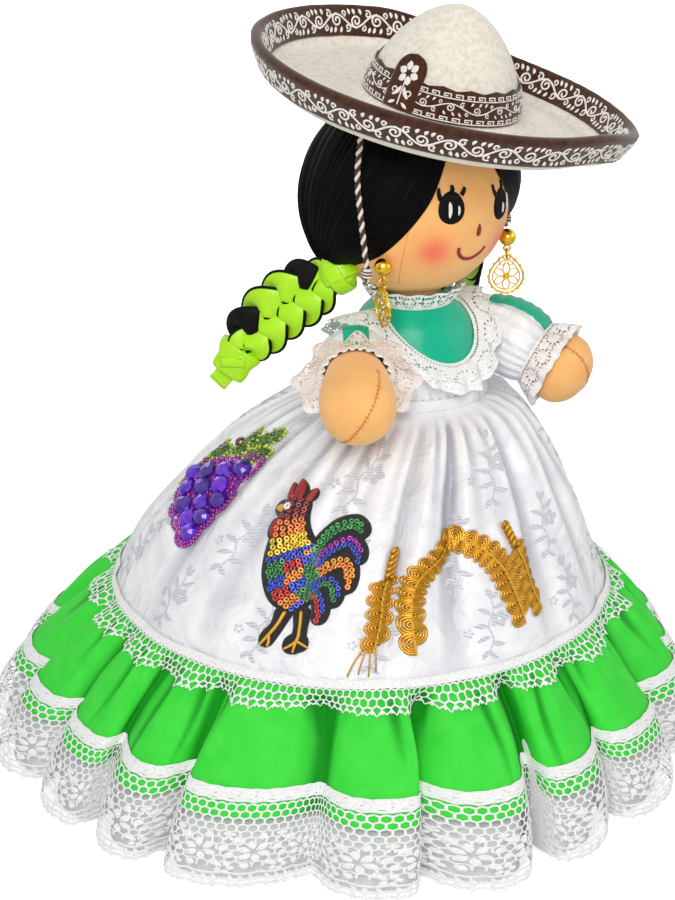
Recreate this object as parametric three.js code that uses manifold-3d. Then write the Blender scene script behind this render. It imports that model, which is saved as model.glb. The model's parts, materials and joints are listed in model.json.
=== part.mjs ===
// A stuffed rag doll in a fiesta dress and a felt sombrero, as separate pieces.
// Millimetres, +Z up. The doll faces -Y and its right side is -X.
// Origin: centre of the hem ring, on the surface the doll stands on.

import * as THREE from "three";
import { mergeVertices } from "three/addons/utils/BufferGeometryUtils.js";
import { ParametricGeometry } from "three/addons/geometries/ParametricGeometry.js";
import Module from "manifold-3d";

const wasm = await Module();
wasm.setup();

// Clearances and cloth
const sewnGap = 0.3; // between pieces that are sewn together or lie on each other
const swingGap = 0.8; // between a moving piece and what it swings past
const clothThickness = 1.2; // dress cloth with its turned edge
const laceThickness = 0.9;
const trimThickness = 1.4; // felt, gimp and sequin patches

// The doll stands off the centre of its hem: the skirt trails to the right and back
const axisX = 26;
const axisY = -22;

// Stuffed body, heights above the surface it stands on
const waistRadius = 36;
const waistHeight = 192;
const hipRadius = waistRadius + 3;
const hipHeight = waistHeight - 40;
const crotchHeight = waistHeight - 70;
const chestRadius = waistRadius - 3;
const chestHeight = waistHeight + 20;
const shoulderRadius = waistRadius - 9;
const shoulderHeight = chestHeight + 16;
const neckRadius = 15;
const neckHeight = shoulderHeight + 13;
const headRadius = 49;
const headHeight = neckHeight + headRadius + 1;
const headSetBack = 2;

// Arms: tapered pods that swell towards the hand
const armRootRadius = 11;
const armWristRadius = 13;
const handRadius = 19;
const armLength = 69;
const shoulderX = shoulderRadius + 13;
const shoulderY = -2;
const shoulderJointHeight = shoulderHeight - 8;
const rightArmOutward = 36; // degrees out from straight ahead
const rightArmDroop = 15; // degrees below level
const leftArmOutward = 30;
const leftArmDroop = 25;
const rightArmLow = -7; // degrees of travel from rest, a degree past each stop
const rightArmHigh = 5;
const leftArmLow = -1;
const leftArmHigh = 16;

// Legs and shoes
const legRootRadius = 15.5;
const ankleRadius = 11.5;
const hipX = 17;
const hipJointHeight = crotchHeight + 1;
const shoeLength = 54;
const shoeWidth = 29;
const shoeHeight = 24;
const insoleHeight = 5;

// Hair, parted in the middle
const hairSide = 8.5;
const hairBack = 6;
const hairTop = 6;
const partingGap = 0.6;
const hairlineSide = 0.777; // direction that the hairline faces: to the other side, ahead and down
const hairlineAhead = 0.445;
const hairlineDown = 0.446;
const napeRise = 4; // nape line below the middle of the head
const napeSide = 0.25;
const napeBack = 0.41;

// Braids
const braidRootX = headRadius - 5;
const braidRootY = 5;
const braidRootHeight = headHeight - headRadius + 16;
const braidReachX = 37;
const braidReachY = 46;
const braidDrop = 58;
const braidKnotRadius = 9.5;
const braidStrandRadius = 3.3;
const braidHalfWidth = 9.6;
const braidHalfDepth = 6.4;
const braidTurns = 1.4;
const braidTieLength = 10;
const braidTailLength = 17;
const braidTailThickness = 2.4;
const braidLift = 25; // degrees

// Earrings
const beadRadius = 4.4;
const beadAngle = 56; // degrees from straight ahead
const beadHeight = headHeight - headRadius / 2 + 1.5;
const beadReach = headRadius; // from the doll's axis
const wireRadius = 0.5;
const eyeRadius = 1.6;
const jumpRingRadius = 2.5;
const pendantWidth = 19;
const pendantHeight = 22;
const pendantThickness = 1.2;
const rightPendantTurn = 40; // degrees that each earring has twisted on its thread
const leftPendantTurn = 0;

// Sombrero, in its own frame with the brim plane at zero
const feltThickness = 2.4;
const crownRadius = headRadius - 10;
const crownHeight = 52;
const crownPower = 1.5;
const brimRise = 1.5;
const rimRadius = 95;
const rimRise = 19;
const rimSlope = 62; // degrees that the rim is turned up
const bandWrap = 15; // how far the suede reaches down each face of the rim
const suedeThickness = 1.1;
const crownBandHeight = 19;
const tabWidth = 17;
const tabHeight = 26;
const tabFoot = 4.7;
const tabAngle = 74; // degrees from straight ahead, to the doll's right
const sweatbandDepth = 13;
const sweatbandWidth = 9;
const hatX = 9;
const hatY = -8;
const hatHeight = headHeight + headRadius - 3;
const hatPitch = 9.8; // degrees forward
const hatRoll = 6.7; // degrees to the doll's left

// Chin cords, hanging free from the brim
const cordRadius = 1.5;
const rightCordX = headRadius + 4;
const rightCordY = -24;
const leftCordX = headRadius + 14;
const leftCordY = 4;
const cordEndHeight = headHeight - headRadius / 2 + 1.5;
const cordKnotRadius = 2.6;

// Skirt, flounce and laces
const skirtWaistRadius = waistRadius + 3.7; // under the lower edge of the waistband
const skirtSeamRadius = 131;
const skirtSeamHeight = 84;
const skirtSeamX = 3;
const skirtSeamY = -9;
const skirtBell = 0.65;
const skirtFolds = 16;
const skirtFoldDepth = 2.2;
const hemRadius = skirtSeamRadius + 52;
const hemFolds = 20;
const hemFoldDepth = 7.5;
const hemLaceHeight = 46;
const flounceHeight = hemLaceHeight - 13;
const seamLaceDrop = 6;
const seamLaceSides = 36;
const petticoatClear = 7;
const petticoatDrop = 8; // its waist below that of the skirt
const petticoatSpread = 30;
const petticoatSides = 24;

// Bodice trims
const bandHeight = 6;
const neckLaceHeight = 10;
const neckLaceFlare = 6;
const neckLaceSides = 32;
const frillFolds = 18;
const frillMid = shoulderHeight - 4;
const frillDip = 12;
const frillRadius = shoulderRadius + 18;
const frillEdgeMid = shoulderHeight - 11.5;
const frillEdgeDip = 17.5;
const rightSleeveLength = 26; // its cuff has slid up the arm and opened
const leftSleeveLength = 38;
const sleeveRootRadius = 13.5;
const sleevePuffRadius = 19.5;
const cuffLength = 13;
const rightCuffRadius = 25;
const leftCuffRadius = 22;
const cuffFolds = 9;
const cuffFoldDepth = 2;
const stripWidth = 13;

// Patches on the skirt: angle from straight ahead to the doll's right, share of the way down to the seam
const grapeAngle = 105;
const grapeDrop = 0.41;
const grapeLean = 28; // degrees
const grapeWidth = 46;
const grapeLength = 70;
const roosterAngle = 59;
const roosterDrop = 0.561;
const roosterWidth = 52;
const roosterLength = 84;
const archAngle = 17;
const archDrop = 0.599;
const archWidth = 64;
const archLength = 50;
const gimpWidth = 12;
const rightStripAngle = 39;
const rightStripDrop = 0.627;
const rightStripLength = 50;
const rightStripLean = -1;
const leftStripAngle = -3;
const leftStripDrop = 0.608;
const leftStripLength = 60;
const leftStripLean = 14;

const rad = THREE.MathUtils.degToRad;
const sides = [
  ["right", -1],
  ["left", 1],
];

// Geometry helpers

function facets(geometry) {
  const bare = new THREE.BufferGeometry();
  bare.setAttribute("position", geometry.getAttribute("position").clone());
  if (geometry.index) bare.setIndex(geometry.index.clone());
  const merged = mergeVertices(bare, 1e-4);
  const index = merged.index.array;
  const corners = [];
  for (let i = 0; i < index.length; i += 3) {
    const [a, b, c] = [index[i], index[i + 1], index[i + 2]];
    if (a !== b && b !== c && c !== a) corners.push(a, b, c);
  }
  return { points: merged.getAttribute("position").array, corners };
}

function signedVolume(points, corners) {
  const [a, b, c] = [new THREE.Vector3(), new THREE.Vector3(), new THREE.Vector3()];
  let sum = 0;
  for (let i = 0; i < corners.length; i += 3) {
    a.fromArray(points, corners[i] * 3);
    b.fromArray(points, corners[i + 1] * 3);
    c.fromArray(points, corners[i + 2] * 3);
    sum += a.dot(b.cross(c));
  }
  return sum / 6;
}

function solid(geometry) {
  const { points, corners } = facets(geometry);
  if (signedVolume(points, corners) < 0) corners.reverse();
  const mesh = new wasm.Mesh({
    numProp: 3,
    vertProperties: new Float32Array(points),
    triVerts: new Uint32Array(corners),
  });
  return new wasm.Manifold(mesh);
}

function largest(body) {
  const pieces = body.decompose();
  return pieces.reduce((best, piece) => (piece.volume() > best.volume() ? piece : best));
}

function geometryOf(body) {
  const mesh = body.getMesh();
  const geometry = new THREE.BufferGeometry();
  geometry.setAttribute("position", new THREE.BufferAttribute(new Float32Array(mesh.vertProperties), 3));
  geometry.setIndex(new THREE.BufferAttribute(new Uint32Array(mesh.triVerts), 1));
  geometry.computeVertexNormals();
  return geometry;
}

// Lathe profiles are [radius, height] pairs, turned round +Z
function lathe(profile, around) {
  const points = profile.map(([radius, height]) => new THREE.Vector2(Math.max(radius, 0), height));
  return new THREE.LatheGeometry(points, around).rotateX(Math.PI / 2);
}

function smooth(profile, count) {
  const curve = new THREE.SplineCurve(profile.map(([r, h]) => new THREE.Vector2(r, h)));
  return curve.getPoints(count).map((p) => [Math.max(p.x, 0), p.y]);
}

// Quarter circle from the top of a ball down to its widest ring
function dome(radius, height, count) {
  const angles = Array.from({ length: count }, (_, i) => (Math.PI / 2) * (1 - i / (count - 1)));
  return angles.map((a) => [radius * Math.cos(a), height + radius * Math.sin(a)]);
}

const widened = (rows, out) => rows.map(([radius, height]) => [radius + out, height]);

// A closed band between two rows of [radius, height] points of equal length
function band(outer, inner, around) {
  return lathe([...outer, ...inner.slice().reverse(), outer[0]], around);
}

function ball(radius, x, y, z, around = 12, rows = 8) {
  return new THREE.SphereGeometry(radius, around, rows).rotateX(Math.PI / 2).translate(x, y, z);
}

// Everything on the side of a plane that its normal points away from
function behind(normal, point) {
  const size = 2000;
  const box = new THREE.BoxGeometry(size, size, size).translate(0, 0, -size / 2);
  const upward = new THREE.Vector3(0, 0, 1);
  const turn = new THREE.Quaternion().setFromUnitVectors(upward, normal.clone().normalize());
  return solid(box.applyQuaternion(turn).translate(point.x, point.y, point.z));
}

// A sheet that closes on itself round +Z: surface(angle, t, target) gives its face,
// and the sheet fills the depths from top to under, measured inwards
function sheet(around, rows, surface, top, under) {
  const loop = [...rows.map((t) => [t, top]), ...rows.slice().reverse().map((t) => [t, under])];
  const step = 1e-3;
  const here = new THREE.Vector3();
  const along = new THREE.Vector3();
  const across = new THREE.Vector3();
  const place = (u, v, target) => {
    const [t, depth] = loop[Math.round(v * loop.length) % loop.length];
    const angle = 2 * Math.PI * u;
    surface(angle, t, here);
    surface(angle + step, t, across);
    surface(angle, t + step, along);
    across.sub(here);
    along.sub(here);
    target.copy(across.cross(along).normalize().multiplyScalar(depth).add(here));
  };
  return new ParametricGeometry(place, around, loop.length);
}

function tube(curve, radius, steps, sides) {
  const shape = new THREE.Shape().absarc(0, 0, radius, 0, 2 * Math.PI);
  return new THREE.ExtrudeGeometry(shape, { steps, curveSegments: sides, extrudePath: curve });
}

function prism(shape, depth, curveSegments) {
  return new THREE.ExtrudeGeometry(shape, { depth, bevelEnabled: false, curveSegments });
}

function hoop(radius, wire) {
  return new THREE.TorusGeometry(radius, wire, 5, 10);
}

function turnedAbout(body, pivot, axis, degrees) {
  const turn = new THREE.Matrix4().makeRotationAxis(axis, rad(degrees));
  const matrix = new THREE.Matrix4()
    .makeTranslation(pivot.x, pivot.y, pivot.z)
    .multiply(turn)
    .multiply(new THREE.Matrix4().makeTranslation(-pivot.x, -pivot.y, -pivot.z));
  return body.transform(matrix.elements);
}

// Cuts a swinging piece so that it clears a fixed body all through its travel
function clearOf(body, fixed, pivot, axis, low, high, step) {
  let left = body;
  for (let angle = low; angle <= high; angle += step) {
    left = left.subtract(turnedAbout(fixed, pivot, axis, -angle));
  }
  return largest(left);
}

const doll = new THREE.Group();
doll.name = "rag_doll";
const figure = new THREE.Group();
figure.name = "figure";
figure.position.set(axisX, axisY, 0);
doll.add(figure);

function add(group, name, body, color, roughness = 0.8, metalness = 0) {
  const material = new THREE.MeshStandardMaterial({ color, roughness, metalness });
  material.name = name;
  const mesh = new THREE.Mesh(geometryOf(body), material);
  mesh.name = name;
  group.add(mesh);
}

const skin = 0xf2b26b;
const black = 0x141216;
const white = 0xf4f2ee;
const teal = 0x1fb5b0;
const lime = 0xa6e60f;
const green = 0x3fd83f;
const suedeBrown = 0x7a4a2c;
const gold = 0xd2a63c;
const cream = 0xece4d4;
const lining = 0x2a2320;
const cordBrown = 0x8a6a4a;
const purple = 0x5b2a86;

// Torso and head

const torsoProfile = smooth(
  [
    [0, crotchHeight],
    [hipRadius * 0.62, crotchHeight + 3],
    [hipRadius * 0.9, crotchHeight + 13],
    [hipRadius, hipHeight],
    [waistRadius, waistHeight],
    [chestRadius, chestHeight],
    [shoulderRadius, shoulderHeight],
    [neckRadius + 4, neckHeight - 4],
    [neckRadius, neckHeight],
    [neckRadius, neckHeight + 6],
  ],
  11,
);

// Radius of the stuffed torso at a height, on the same straight pieces as its profile
function torsoRadius(height) {
  const next = torsoProfile.findIndex(([, h], i) => i > 0 && h >= height);
  const [r0, h0] = torsoProfile[next - 1];
  const [r1, h1] = torsoProfile[next];
  return r0 + ((r1 - r0) * (height - h0)) / (h1 - h0);
}

function torsoRows(low, high, out) {
  const heights = torsoProfile.map(([, h]) => h).filter((h) => h > low + 0.5 && h < high - 0.5);
  return [low, ...heights, high].map((h) => [torsoRadius(h) + out, h]);
}

const torsoSides = 16;
const headBall = (extra) => solid(ball(headRadius + extra, 0, headSetBack, headHeight, 18, 12));
const shoulderSocket = (side) =>
  solid(ball(armRootRadius + swingGap * 2, side * shoulderX, shoulderY, shoulderJointHeight, 10, 6));

let torso = solid(lathe([...torsoProfile, [0, torsoProfile.at(-1)[1]]], torsoSides));
torso = torso.subtract(headBall(sewnGap));
for (const [, side] of sides) {
  torso = torso.subtract(shoulderSocket(side));
  torso = torso.subtract(solid(ball(legRootRadius + swingGap, side * hipX, 0, hipJointHeight)));
}
add(figure, "torso", largest(torso), skin);
add(figure, "head", headBall(0), skin);

// Legs and shoes

const legProfile = [
  ...dome(legRootRadius, hipJointHeight, 5),
  [legRootRadius * 0.96, hipJointHeight - 12],
  [legRootRadius * 0.88, hipJointHeight * 0.6],
  [ankleRadius, shoeHeight],
];
const shoeForward = shoeLength * 0.16;
for (const [word, side] of sides) {
  const sole = insoleHeight + sewnGap;
  const legLoop = [...legProfile, [ankleRadius, sole], [0, sole]];
  const leg = lathe(legLoop, 12).translate(side * hipX, 0, 0);
  const upper = ball(1, 0, 0, 0, 14, 8)
    .scale(shoeWidth / 2, shoeLength / 2, shoeHeight)
    .translate(side * hipX, -shoeForward, 0);
  const ankleHole = lathe(
    [
      [0, insoleHeight],
      [ankleRadius + sewnGap, insoleHeight],
      [ankleRadius + sewnGap, shoeHeight * 2],
      [0, shoeHeight * 2],
    ],
    12,
  ).translate(side * hipX, 0, 0);
  const shoe = solid(upper)
    .subtract(behind(new THREE.Vector3(0, 0, 1), new THREE.Vector3()))
    .subtract(solid(ankleHole));
  add(figure, `${word}_leg`, solid(leg), skin);
  add(figure, `${word}_shoe`, largest(shoe), black, 0.4);
}

// Hair: a shell round the head, cut along the parting, the hairline and the nape

const hairBall = (extra) =>
  solid(
    ball(1, 0, 0, 0, 18, 12)
      .scale(headRadius + hairSide + extra, headRadius + hairBack + extra, headRadius + hairTop + extra)
      .translate(0, headSetBack + 1, headHeight),
  );
const braidRoot = (side) => new THREE.Vector3(side * braidRootX, braidRootY, braidRootHeight);
const beadOut = (side) => new THREE.Vector3(side * Math.sin(rad(beadAngle)), -Math.cos(rad(beadAngle)), 0);
const beadPlace = (side) => beadOut(side).multiplyScalar(beadReach).setZ(beadHeight);
for (const [word, side] of sides) {
  const parting = behind(new THREE.Vector3(-side, 0, 0), new THREE.Vector3((side * partingGap) / 2, 0, 0));
  const browPoint = new THREE.Vector3(0, -headRadius * 0.62, headHeight + headRadius * 0.78);
  const browFacing = new THREE.Vector3(-side * hairlineSide, -hairlineAhead, -hairlineDown);
  const hairline = behind(browFacing, browPoint);
  const napePoint = new THREE.Vector3(0, headRadius, headHeight - napeRise);
  const nape = behind(new THREE.Vector3(-side * napeSide, napeBack, -1), napePoint);
  const rootKnot = solid(ball(braidKnotRadius + sewnGap, ...braidRoot(side).toArray(), 10, 6));
  const half = hairBall(0)
    .subtract(headBall(sewnGap))
    .intersect(parting)
    .intersect(hairline)
    .intersect(nape)
    .subtract(rootKnot)
    .subtract(solid(ball(beadRadius + sewnGap, ...beadPlace(side).toArray())));
  add(figure, `${word}_hair`, largest(half), black, 0.35);
}

// Braids: three strands that pass over and under each other, a knot at the root, a tie and tail at the end

const braidEnd = new THREE.Vector3(-braidReachX, braidReachY, -braidDrop);
for (const [word, side] of sides) {
  const mirror = new THREE.Vector3(-side, 1, 1);
  const root = braidRoot(-1);
  const knot = ball(braidKnotRadius, ...braidRoot(side).toArray(), 10, 6);
  add(figure, `${word}_braid_knot`, solid(knot).subtract(headBall(sewnGap)), lime, 0.35);

  const line = new THREE.CatmullRomCurve3([
    root,
    braidEnd.clone().multiply(new THREE.Vector3(0.36, 0.38, 0.24)).add(root),
    braidEnd.clone().multiply(new THREE.Vector3(0.74, 0.76, 0.6)).add(root),
    braidEnd.clone().add(root),
  ]);
  const length = line.getLength();
  const face = new THREE.Vector3(-0.6, -0.72, 0.35);
  const frameAt = (t) => {
    const middle = line.getPointAt(t);
    const along = line.getTangentAt(t);
    const wide = new THREE.Vector3().crossVectors(along, face).normalize();
    const deep = new THREE.Vector3().crossVectors(wide, along).normalize();
    return { middle, along, wide, deep };
  };
  const start = (braidKnotRadius * 0.8) / length;
  const last = 1 - braidTieLength / length;
  const pivot = braidRoot(side);
  const liftAxis = new THREE.Vector3(braidReachY, -side * braidReachX, 0).normalize();
  const knotKeep = solid(ball(braidKnotRadius + sewnGap, pivot.x, pivot.y, pivot.z, 12, 8));
  const hairKeep = hairBall(swingGap).subtract(solid(ball(braidKnotRadius + 1, pivot.x, pivot.y, pivot.z)));
  for (let strand = 0; strand < 3; strand += 1) {
    const points = [];
    const steps = 30;
    for (let i = 0; i <= steps; i += 1) {
      const t = start + ((last - start) * i) / steps;
      const { middle, wide, deep } = frameAt(t);
      const turn = 2 * Math.PI * (braidTurns * (i / steps) + strand / 3);
      middle.addScaledVector(wide, braidHalfWidth * Math.sin(turn));
      middle.addScaledVector(deep, braidHalfDepth * Math.sin(2 * turn));
      points.push(middle.multiply(mirror));
    }
    let body = solid(tube(new THREE.CatmullRomCurve3(points), braidStrandRadius, 14, 3));
    body = body.subtract(knotKeep);
    body = clearOf(body, hairKeep, pivot, liftAxis, 0, braidLift, braidLift / 3);
    const color = strand === 2 ? black : lime;
    add(figure, `${word}_braid_strand_${strand + 1}`, body, color, 0.35);
  }
  const { middle, along, wide, deep } = frameAt(1);
  const turn = new THREE.Matrix4().makeBasis(wide, deep, along);
  const gap = braidStrandRadius * 0.85;
  const tie = solid(
    lathe(
      smooth(
        [
          [0, -braidTieLength + gap],
          [braidHalfWidth * 0.8, -braidTieLength + gap + 1],
          [braidHalfWidth * 1.2, -braidTieLength * 0.45],
          [braidHalfWidth * 0.7, -0.5],
          [0, 0],
        ],
        6,
      ),
      10,
    ),
  );
  const tail = new THREE.BoxGeometry(braidHalfWidth * 1.5, braidTailThickness, braidTailLength);
  tail.translate(0, 0, braidTailLength / 2 - braidTailThickness);
  const bound = tie.add(solid(tail)).transform(turn.setPosition(middle).elements);
  const flipped = side > 0 ? bound.mirror([1, 0, 0]) : bound;
  add(figure, `${word}_braid_tie`, largest(flipped), lime, 0.35);
}

// Earrings: a bead with a wire eye, a jump ring through it and an open pendant

for (const [word, side] of sides) {
  const twist = rad(side < 0 ? rightPendantTurn : leftPendantTurn);
  const out = beadOut(side).applyAxisAngle(new THREE.Vector3(0, 0, 1), twist);
  const forward = new THREE.Vector3(-out.y, out.x, 0);
  const frame = new THREE.Matrix4().makeBasis(forward, new THREE.Vector3(0, 0, 1), out.clone().negate());
  frame.setPosition(beadPlace(side));
  const eyeDrop = beadRadius + eyeRadius - wireRadius / 2;
  const ringDrop = eyeDrop + eyeRadius - 2 * wireRadius - sewnGap + jumpRingRadius;
  const holeDrop = ringDrop + jumpRingRadius;
  const bead = solid(ball(beadRadius, 0, 0, 0, 8, 6)).add(
    solid(hoop(eyeRadius, wireRadius).rotateY(Math.PI / 2).translate(0, -eyeDrop, 0)),
  );
  const ring = solid(hoop(jumpRingRadius, wireRadius).translate(0, -ringDrop, 0));
  add(figure, `${word}_earring_bead`, bead.transform(frame.elements), gold, 0.25, 1);
  add(figure, `${word}_earring_ring`, ring.transform(frame.elements), gold, 0.3, 1);

  const hole = wireRadius + 0.7;
  const top = hole + 1.1;
  const foot = top - pendantHeight;
  const half = pendantWidth / 2;
  const wide = foot + half;
  const drop = new THREE.Shape();
  drop.moveTo(0, top);
  drop.bezierCurveTo(half * 0.24, top, half, wide * 0.5, half, wide);
  drop.bezierCurveTo(half, wide * 1.5, half * 0.52, foot, 0, foot);
  drop.bezierCurveTo(-half * 0.52, foot, -half, wide * 1.5, -half, wide);
  drop.bezierCurveTo(-half, wide * 0.5, -half * 0.24, top, 0, top);
  drop.holes.push(new THREE.Path().absarc(0, 0, hole, 0, 2 * Math.PI));
  for (let i = 0; i < 6; i += 1) {
    const angle = (Math.PI / 3) * i + Math.PI / 6;
    const x = half * 0.56 * Math.cos(angle);
    const y = wide + half * 0.56 * Math.sin(angle);
    drop.holes.push(new THREE.Path().absarc(x, y, half * 0.22, 0, 2 * Math.PI));
  }
  const plate = prism(drop, pendantThickness, 4)
    .translate(0, 0, -pendantThickness / 2)
    .rotateY(Math.PI / 2)
    .translate(0, -holeDrop + hole - wireRadius - sewnGap, 0);
  add(figure, `${word}_earring_pendant`, solid(plate).transform(frame.elements), gold, 0.3, 1);
}

// Sombrero

const hatTurn = new THREE.Matrix4().makeRotationFromEuler(new THREE.Euler(rad(hatPitch), rad(hatRoll), 0));
const hatFrame = hatTurn.clone().setPosition(hatX, hatY, hatHeight);
const hatSides = 28;

function crownAt(out, low, high, count) {
  const rows = [];
  for (let i = 0; i < count; i += 1) {
    const share = low + ((high - low) * i) / (count - 1);
    const radius = crownRadius * (1 - share ** crownPower) ** (1 / crownPower);
    rows.push([radius + out, crownHeight * share]);
  }
  return rows;
}

const rimLean = new THREE.Vector2(Math.cos(rad(rimSlope)), Math.sin(rad(rimSlope)));
const rimOut = new THREE.Vector2(rimLean.y, -rimLean.x);
const rimFoot = [rimRadius - rimLean.x * (bandWrap + 1), rimRise - rimLean.y * (bandWrap + 1)];
const brimTop = [
  [crownRadius + 1.5, 0.6],
  [crownRadius + 5, 0],
  [rimFoot[0] - 5, brimRise],
  rimFoot,
  [rimRadius, rimRise],
];
const brimUnder = brimTop.map(([radius, height], i) => {
  if (i < 2) return [radius, height - feltThickness];
  if (i === 2) return [radius + feltThickness * 0.5, height - feltThickness];
  return [radius + rimOut.x * feltThickness, height + rimOut.y * feltThickness];
});
const crownOuter = crownAt(0, 0.05, 0.95, 7).reverse();
const crownInner = crownOuter.map(([radius, height]) => [
  Math.max(radius - feltThickness, 2),
  height - feltThickness * 0.7,
]);
const hatProfile = [
  [0, crownHeight],
  ...crownOuter,
  ...brimTop,
  ...brimUnder.slice(1).reverse(),
  [crownRadius - feltThickness + 1, -feltThickness * 0.9],
  ...crownInner.slice().reverse(),
  [0, crownHeight - feltThickness],
];
const hatBody = solid(lathe(hatProfile, hatSides));
add(figure, "sombrero", hatBody.transform(hatFrame.elements), cream, 0.95);

// Suede over the rim: down the inner face, over the edge and down the outer face
const rimAt = (down, out) => [
  rimRadius - rimLean.x * down + rimOut.x * out,
  rimRise - rimLean.y * down + rimOut.y * out,
];
const brimBand = lathe(
  [
    rimAt(bandWrap, -sewnGap),
    rimAt(-sewnGap, -sewnGap),
    rimAt(-sewnGap, feltThickness + sewnGap),
    rimAt(bandWrap, feltThickness + sewnGap),
    rimAt(bandWrap, feltThickness + sewnGap + suedeThickness),
    rimAt(-sewnGap - suedeThickness, feltThickness + sewnGap + suedeThickness),
    rimAt(-sewnGap - suedeThickness, -sewnGap - suedeThickness),
    rimAt(bandWrap, -sewnGap - suedeThickness),
    rimAt(bandWrap, -sewnGap),
  ],
  hatSides,
);
add(figure, "brim_band", solid(brimBand).transform(hatFrame.elements), suedeBrown, 0.95);

const bandFoot = 0.07; // share of the crown's height
const bandRows = crownAt(sewnGap, bandFoot, crownBandHeight / crownHeight, 3);
const crownBand = band(widened(bandRows, suedeThickness), bandRows, hatSides);
add(figure, "crown_band", solid(crownBand).transform(hatFrame.elements), suedeBrown, 0.95);

const tabShape = new THREE.Shape();
tabShape.moveTo(-tabWidth / 2, 0);
tabShape.lineTo(tabWidth / 2, 0);
tabShape.lineTo(tabWidth / 2, tabHeight - tabWidth / 2);
tabShape.absarc(0, tabHeight - tabWidth / 2, tabWidth / 2, 0, Math.PI);
const tabPrism = prism(tabShape, crownRadius * 1.5, 6)
  .rotateX(Math.PI / 2)
  .translate(0, 0, tabFoot)
  .rotateZ(rad(-tabAngle));
const tabRows = crownAt(sewnGap * 2 + suedeThickness, bandFoot, 0.75, 5);
const tabShell = band(widened(tabRows, suedeThickness), tabRows, hatSides);
const tab = largest(solid(tabShell).intersect(solid(tabPrism)));
add(figure, "band_tab", tab.transform(hatFrame.elements), suedeBrown, 0.95);

// The sweatband fills the mouth of the crown and is hollowed to the hair it sits on
function crownInside(height) {
  const next = crownInner.findIndex(([, h]) => h <= height);
  const [r0, h0] = crownInner[next - 1];
  const [r1, h1] = crownInner[next];
  return r0 + ((r1 - r0) * (height - h0)) / (h1 - h0);
}

const sweatRows = [2, sweatbandDepth / 2, sweatbandDepth].map((h) => [crownInside(h) - 1, h]);
const sweatInner = sweatRows.map(([, h]) => [sweatRows.at(-1)[0] - sweatbandWidth, h]);
const sweatband = solid(band(sweatRows, sweatInner, hatSides / 2));
const fitted = sweatband.transform(hatFrame.elements).subtract(hairBall(sewnGap)).subtract(headBall(sewnGap));
add(figure, "sweatband", largest(fitted), lining);

// Chin cords hang from the brim and stay outside the hair, so the hat lifts straight off
function brimUnderAt(reach) {
  const [[r0, h0], [r1, h1]] = [brimUnder[1], brimUnder[2]];
  return h0 + ((h1 - h0) * (reach - r0)) / (r1 - r0);
}

for (const [word, side] of sides) {
  const [cordX, cordY] = side < 0 ? [rightCordX, rightCordY] : [leftCordX, leftCordY];
  const onBrim = new THREE.Vector3(side * cordX, cordY, 0);
  const normal = new THREE.Vector3(0, 0, 1).transformDirection(hatTurn);
  const middle = new THREE.Vector3(hatX, hatY, hatHeight);
  onBrim.z = middle.z - (normal.x * (onBrim.x - middle.x) + normal.y * (onBrim.y - middle.y)) / normal.z;
  const slope = Math.hypot(normal.x, normal.y) / normal.z;
  const reach = onBrim.distanceTo(middle);
  const under = onBrim.z + brimUnderAt(reach) / normal.z - cordRadius * slope - sewnGap;
  const end = cordEndHeight + cordKnotRadius + sewnGap;
  const line = new THREE.CatmullRomCurve3([
    new THREE.Vector3(onBrim.x, onBrim.y, under),
    new THREE.Vector3(onBrim.x + side * 1.5, onBrim.y + 1.5, end + (under - end) * 0.66),
    new THREE.Vector3(onBrim.x + side, onBrim.y - 1, end + (under - end) * 0.33),
    new THREE.Vector3(onBrim.x, onBrim.y - 4, end),
  ]);
  add(figure, `${word}_chin_cord`, solid(tube(line, cordRadius, 10, 4)), cordBrown);
  const knot = ball(cordKnotRadius, onBrim.x, onBrim.y - 4, cordEndHeight, 10, 6);
  add(figure, `${word}_cord_knot`, solid(knot), cordBrown);
}

// Bodice: a satin yoke over the shoulders and a white lower part, both parallel to the torso

function torsoCover(low, high, depth) {
  const inner = torsoRows(low, high, sewnGap);
  return solid(band(widened(inner, depth), inner, torsoSides));
}

const yokeTop = neckHeight - 4;
const yokeJoin = chestHeight - 2;
const bandLow = waistHeight - bandHeight / 2;
let yoke = torsoCover(yokeJoin + sewnGap, yokeTop, clothThickness);
for (const [, side] of sides) {
  yoke = yoke.subtract(shoulderSocket(side));
}
add(figure, "yoke", largest(yoke), teal, 0.35);
let bodice = torsoCover(bandLow, yokeJoin, clothThickness);
for (const [, side] of sides) {
  bodice = bodice.subtract(shoulderSocket(side));
}
add(figure, "bodice", largest(bodice), white, 0.5);

const bandOut = sewnGap * 2 + clothThickness;
const bandRise = bandLow + bandHeight;
const bandRowsInner = torsoRows(bandLow, bandRise, bandOut);
const waistband = band(widened(bandRowsInner, clothThickness), bandRowsInner, torsoSides);
add(figure, "waistband", solid(waistband), white, 0.4);

// Neck lace stands round the neck below the chin
const neckLaceStart = torsoRadius(yokeTop) + 1.5;
const neckLace = sheet(
  neckLaceSides,
  [0, 1],
  (angle, t, target) => {
    const radius = neckLaceStart + neckLaceFlare * t + t * Math.cos(16 * angle);
    const height = yokeTop + sewnGap + neckLaceHeight * t;
    return target.set(radius * Math.cos(angle), radius * Math.sin(angle), height);
  },
  0,
  laceThickness,
);
add(figure, "neck_lace", solid(neckLace), white);

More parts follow.
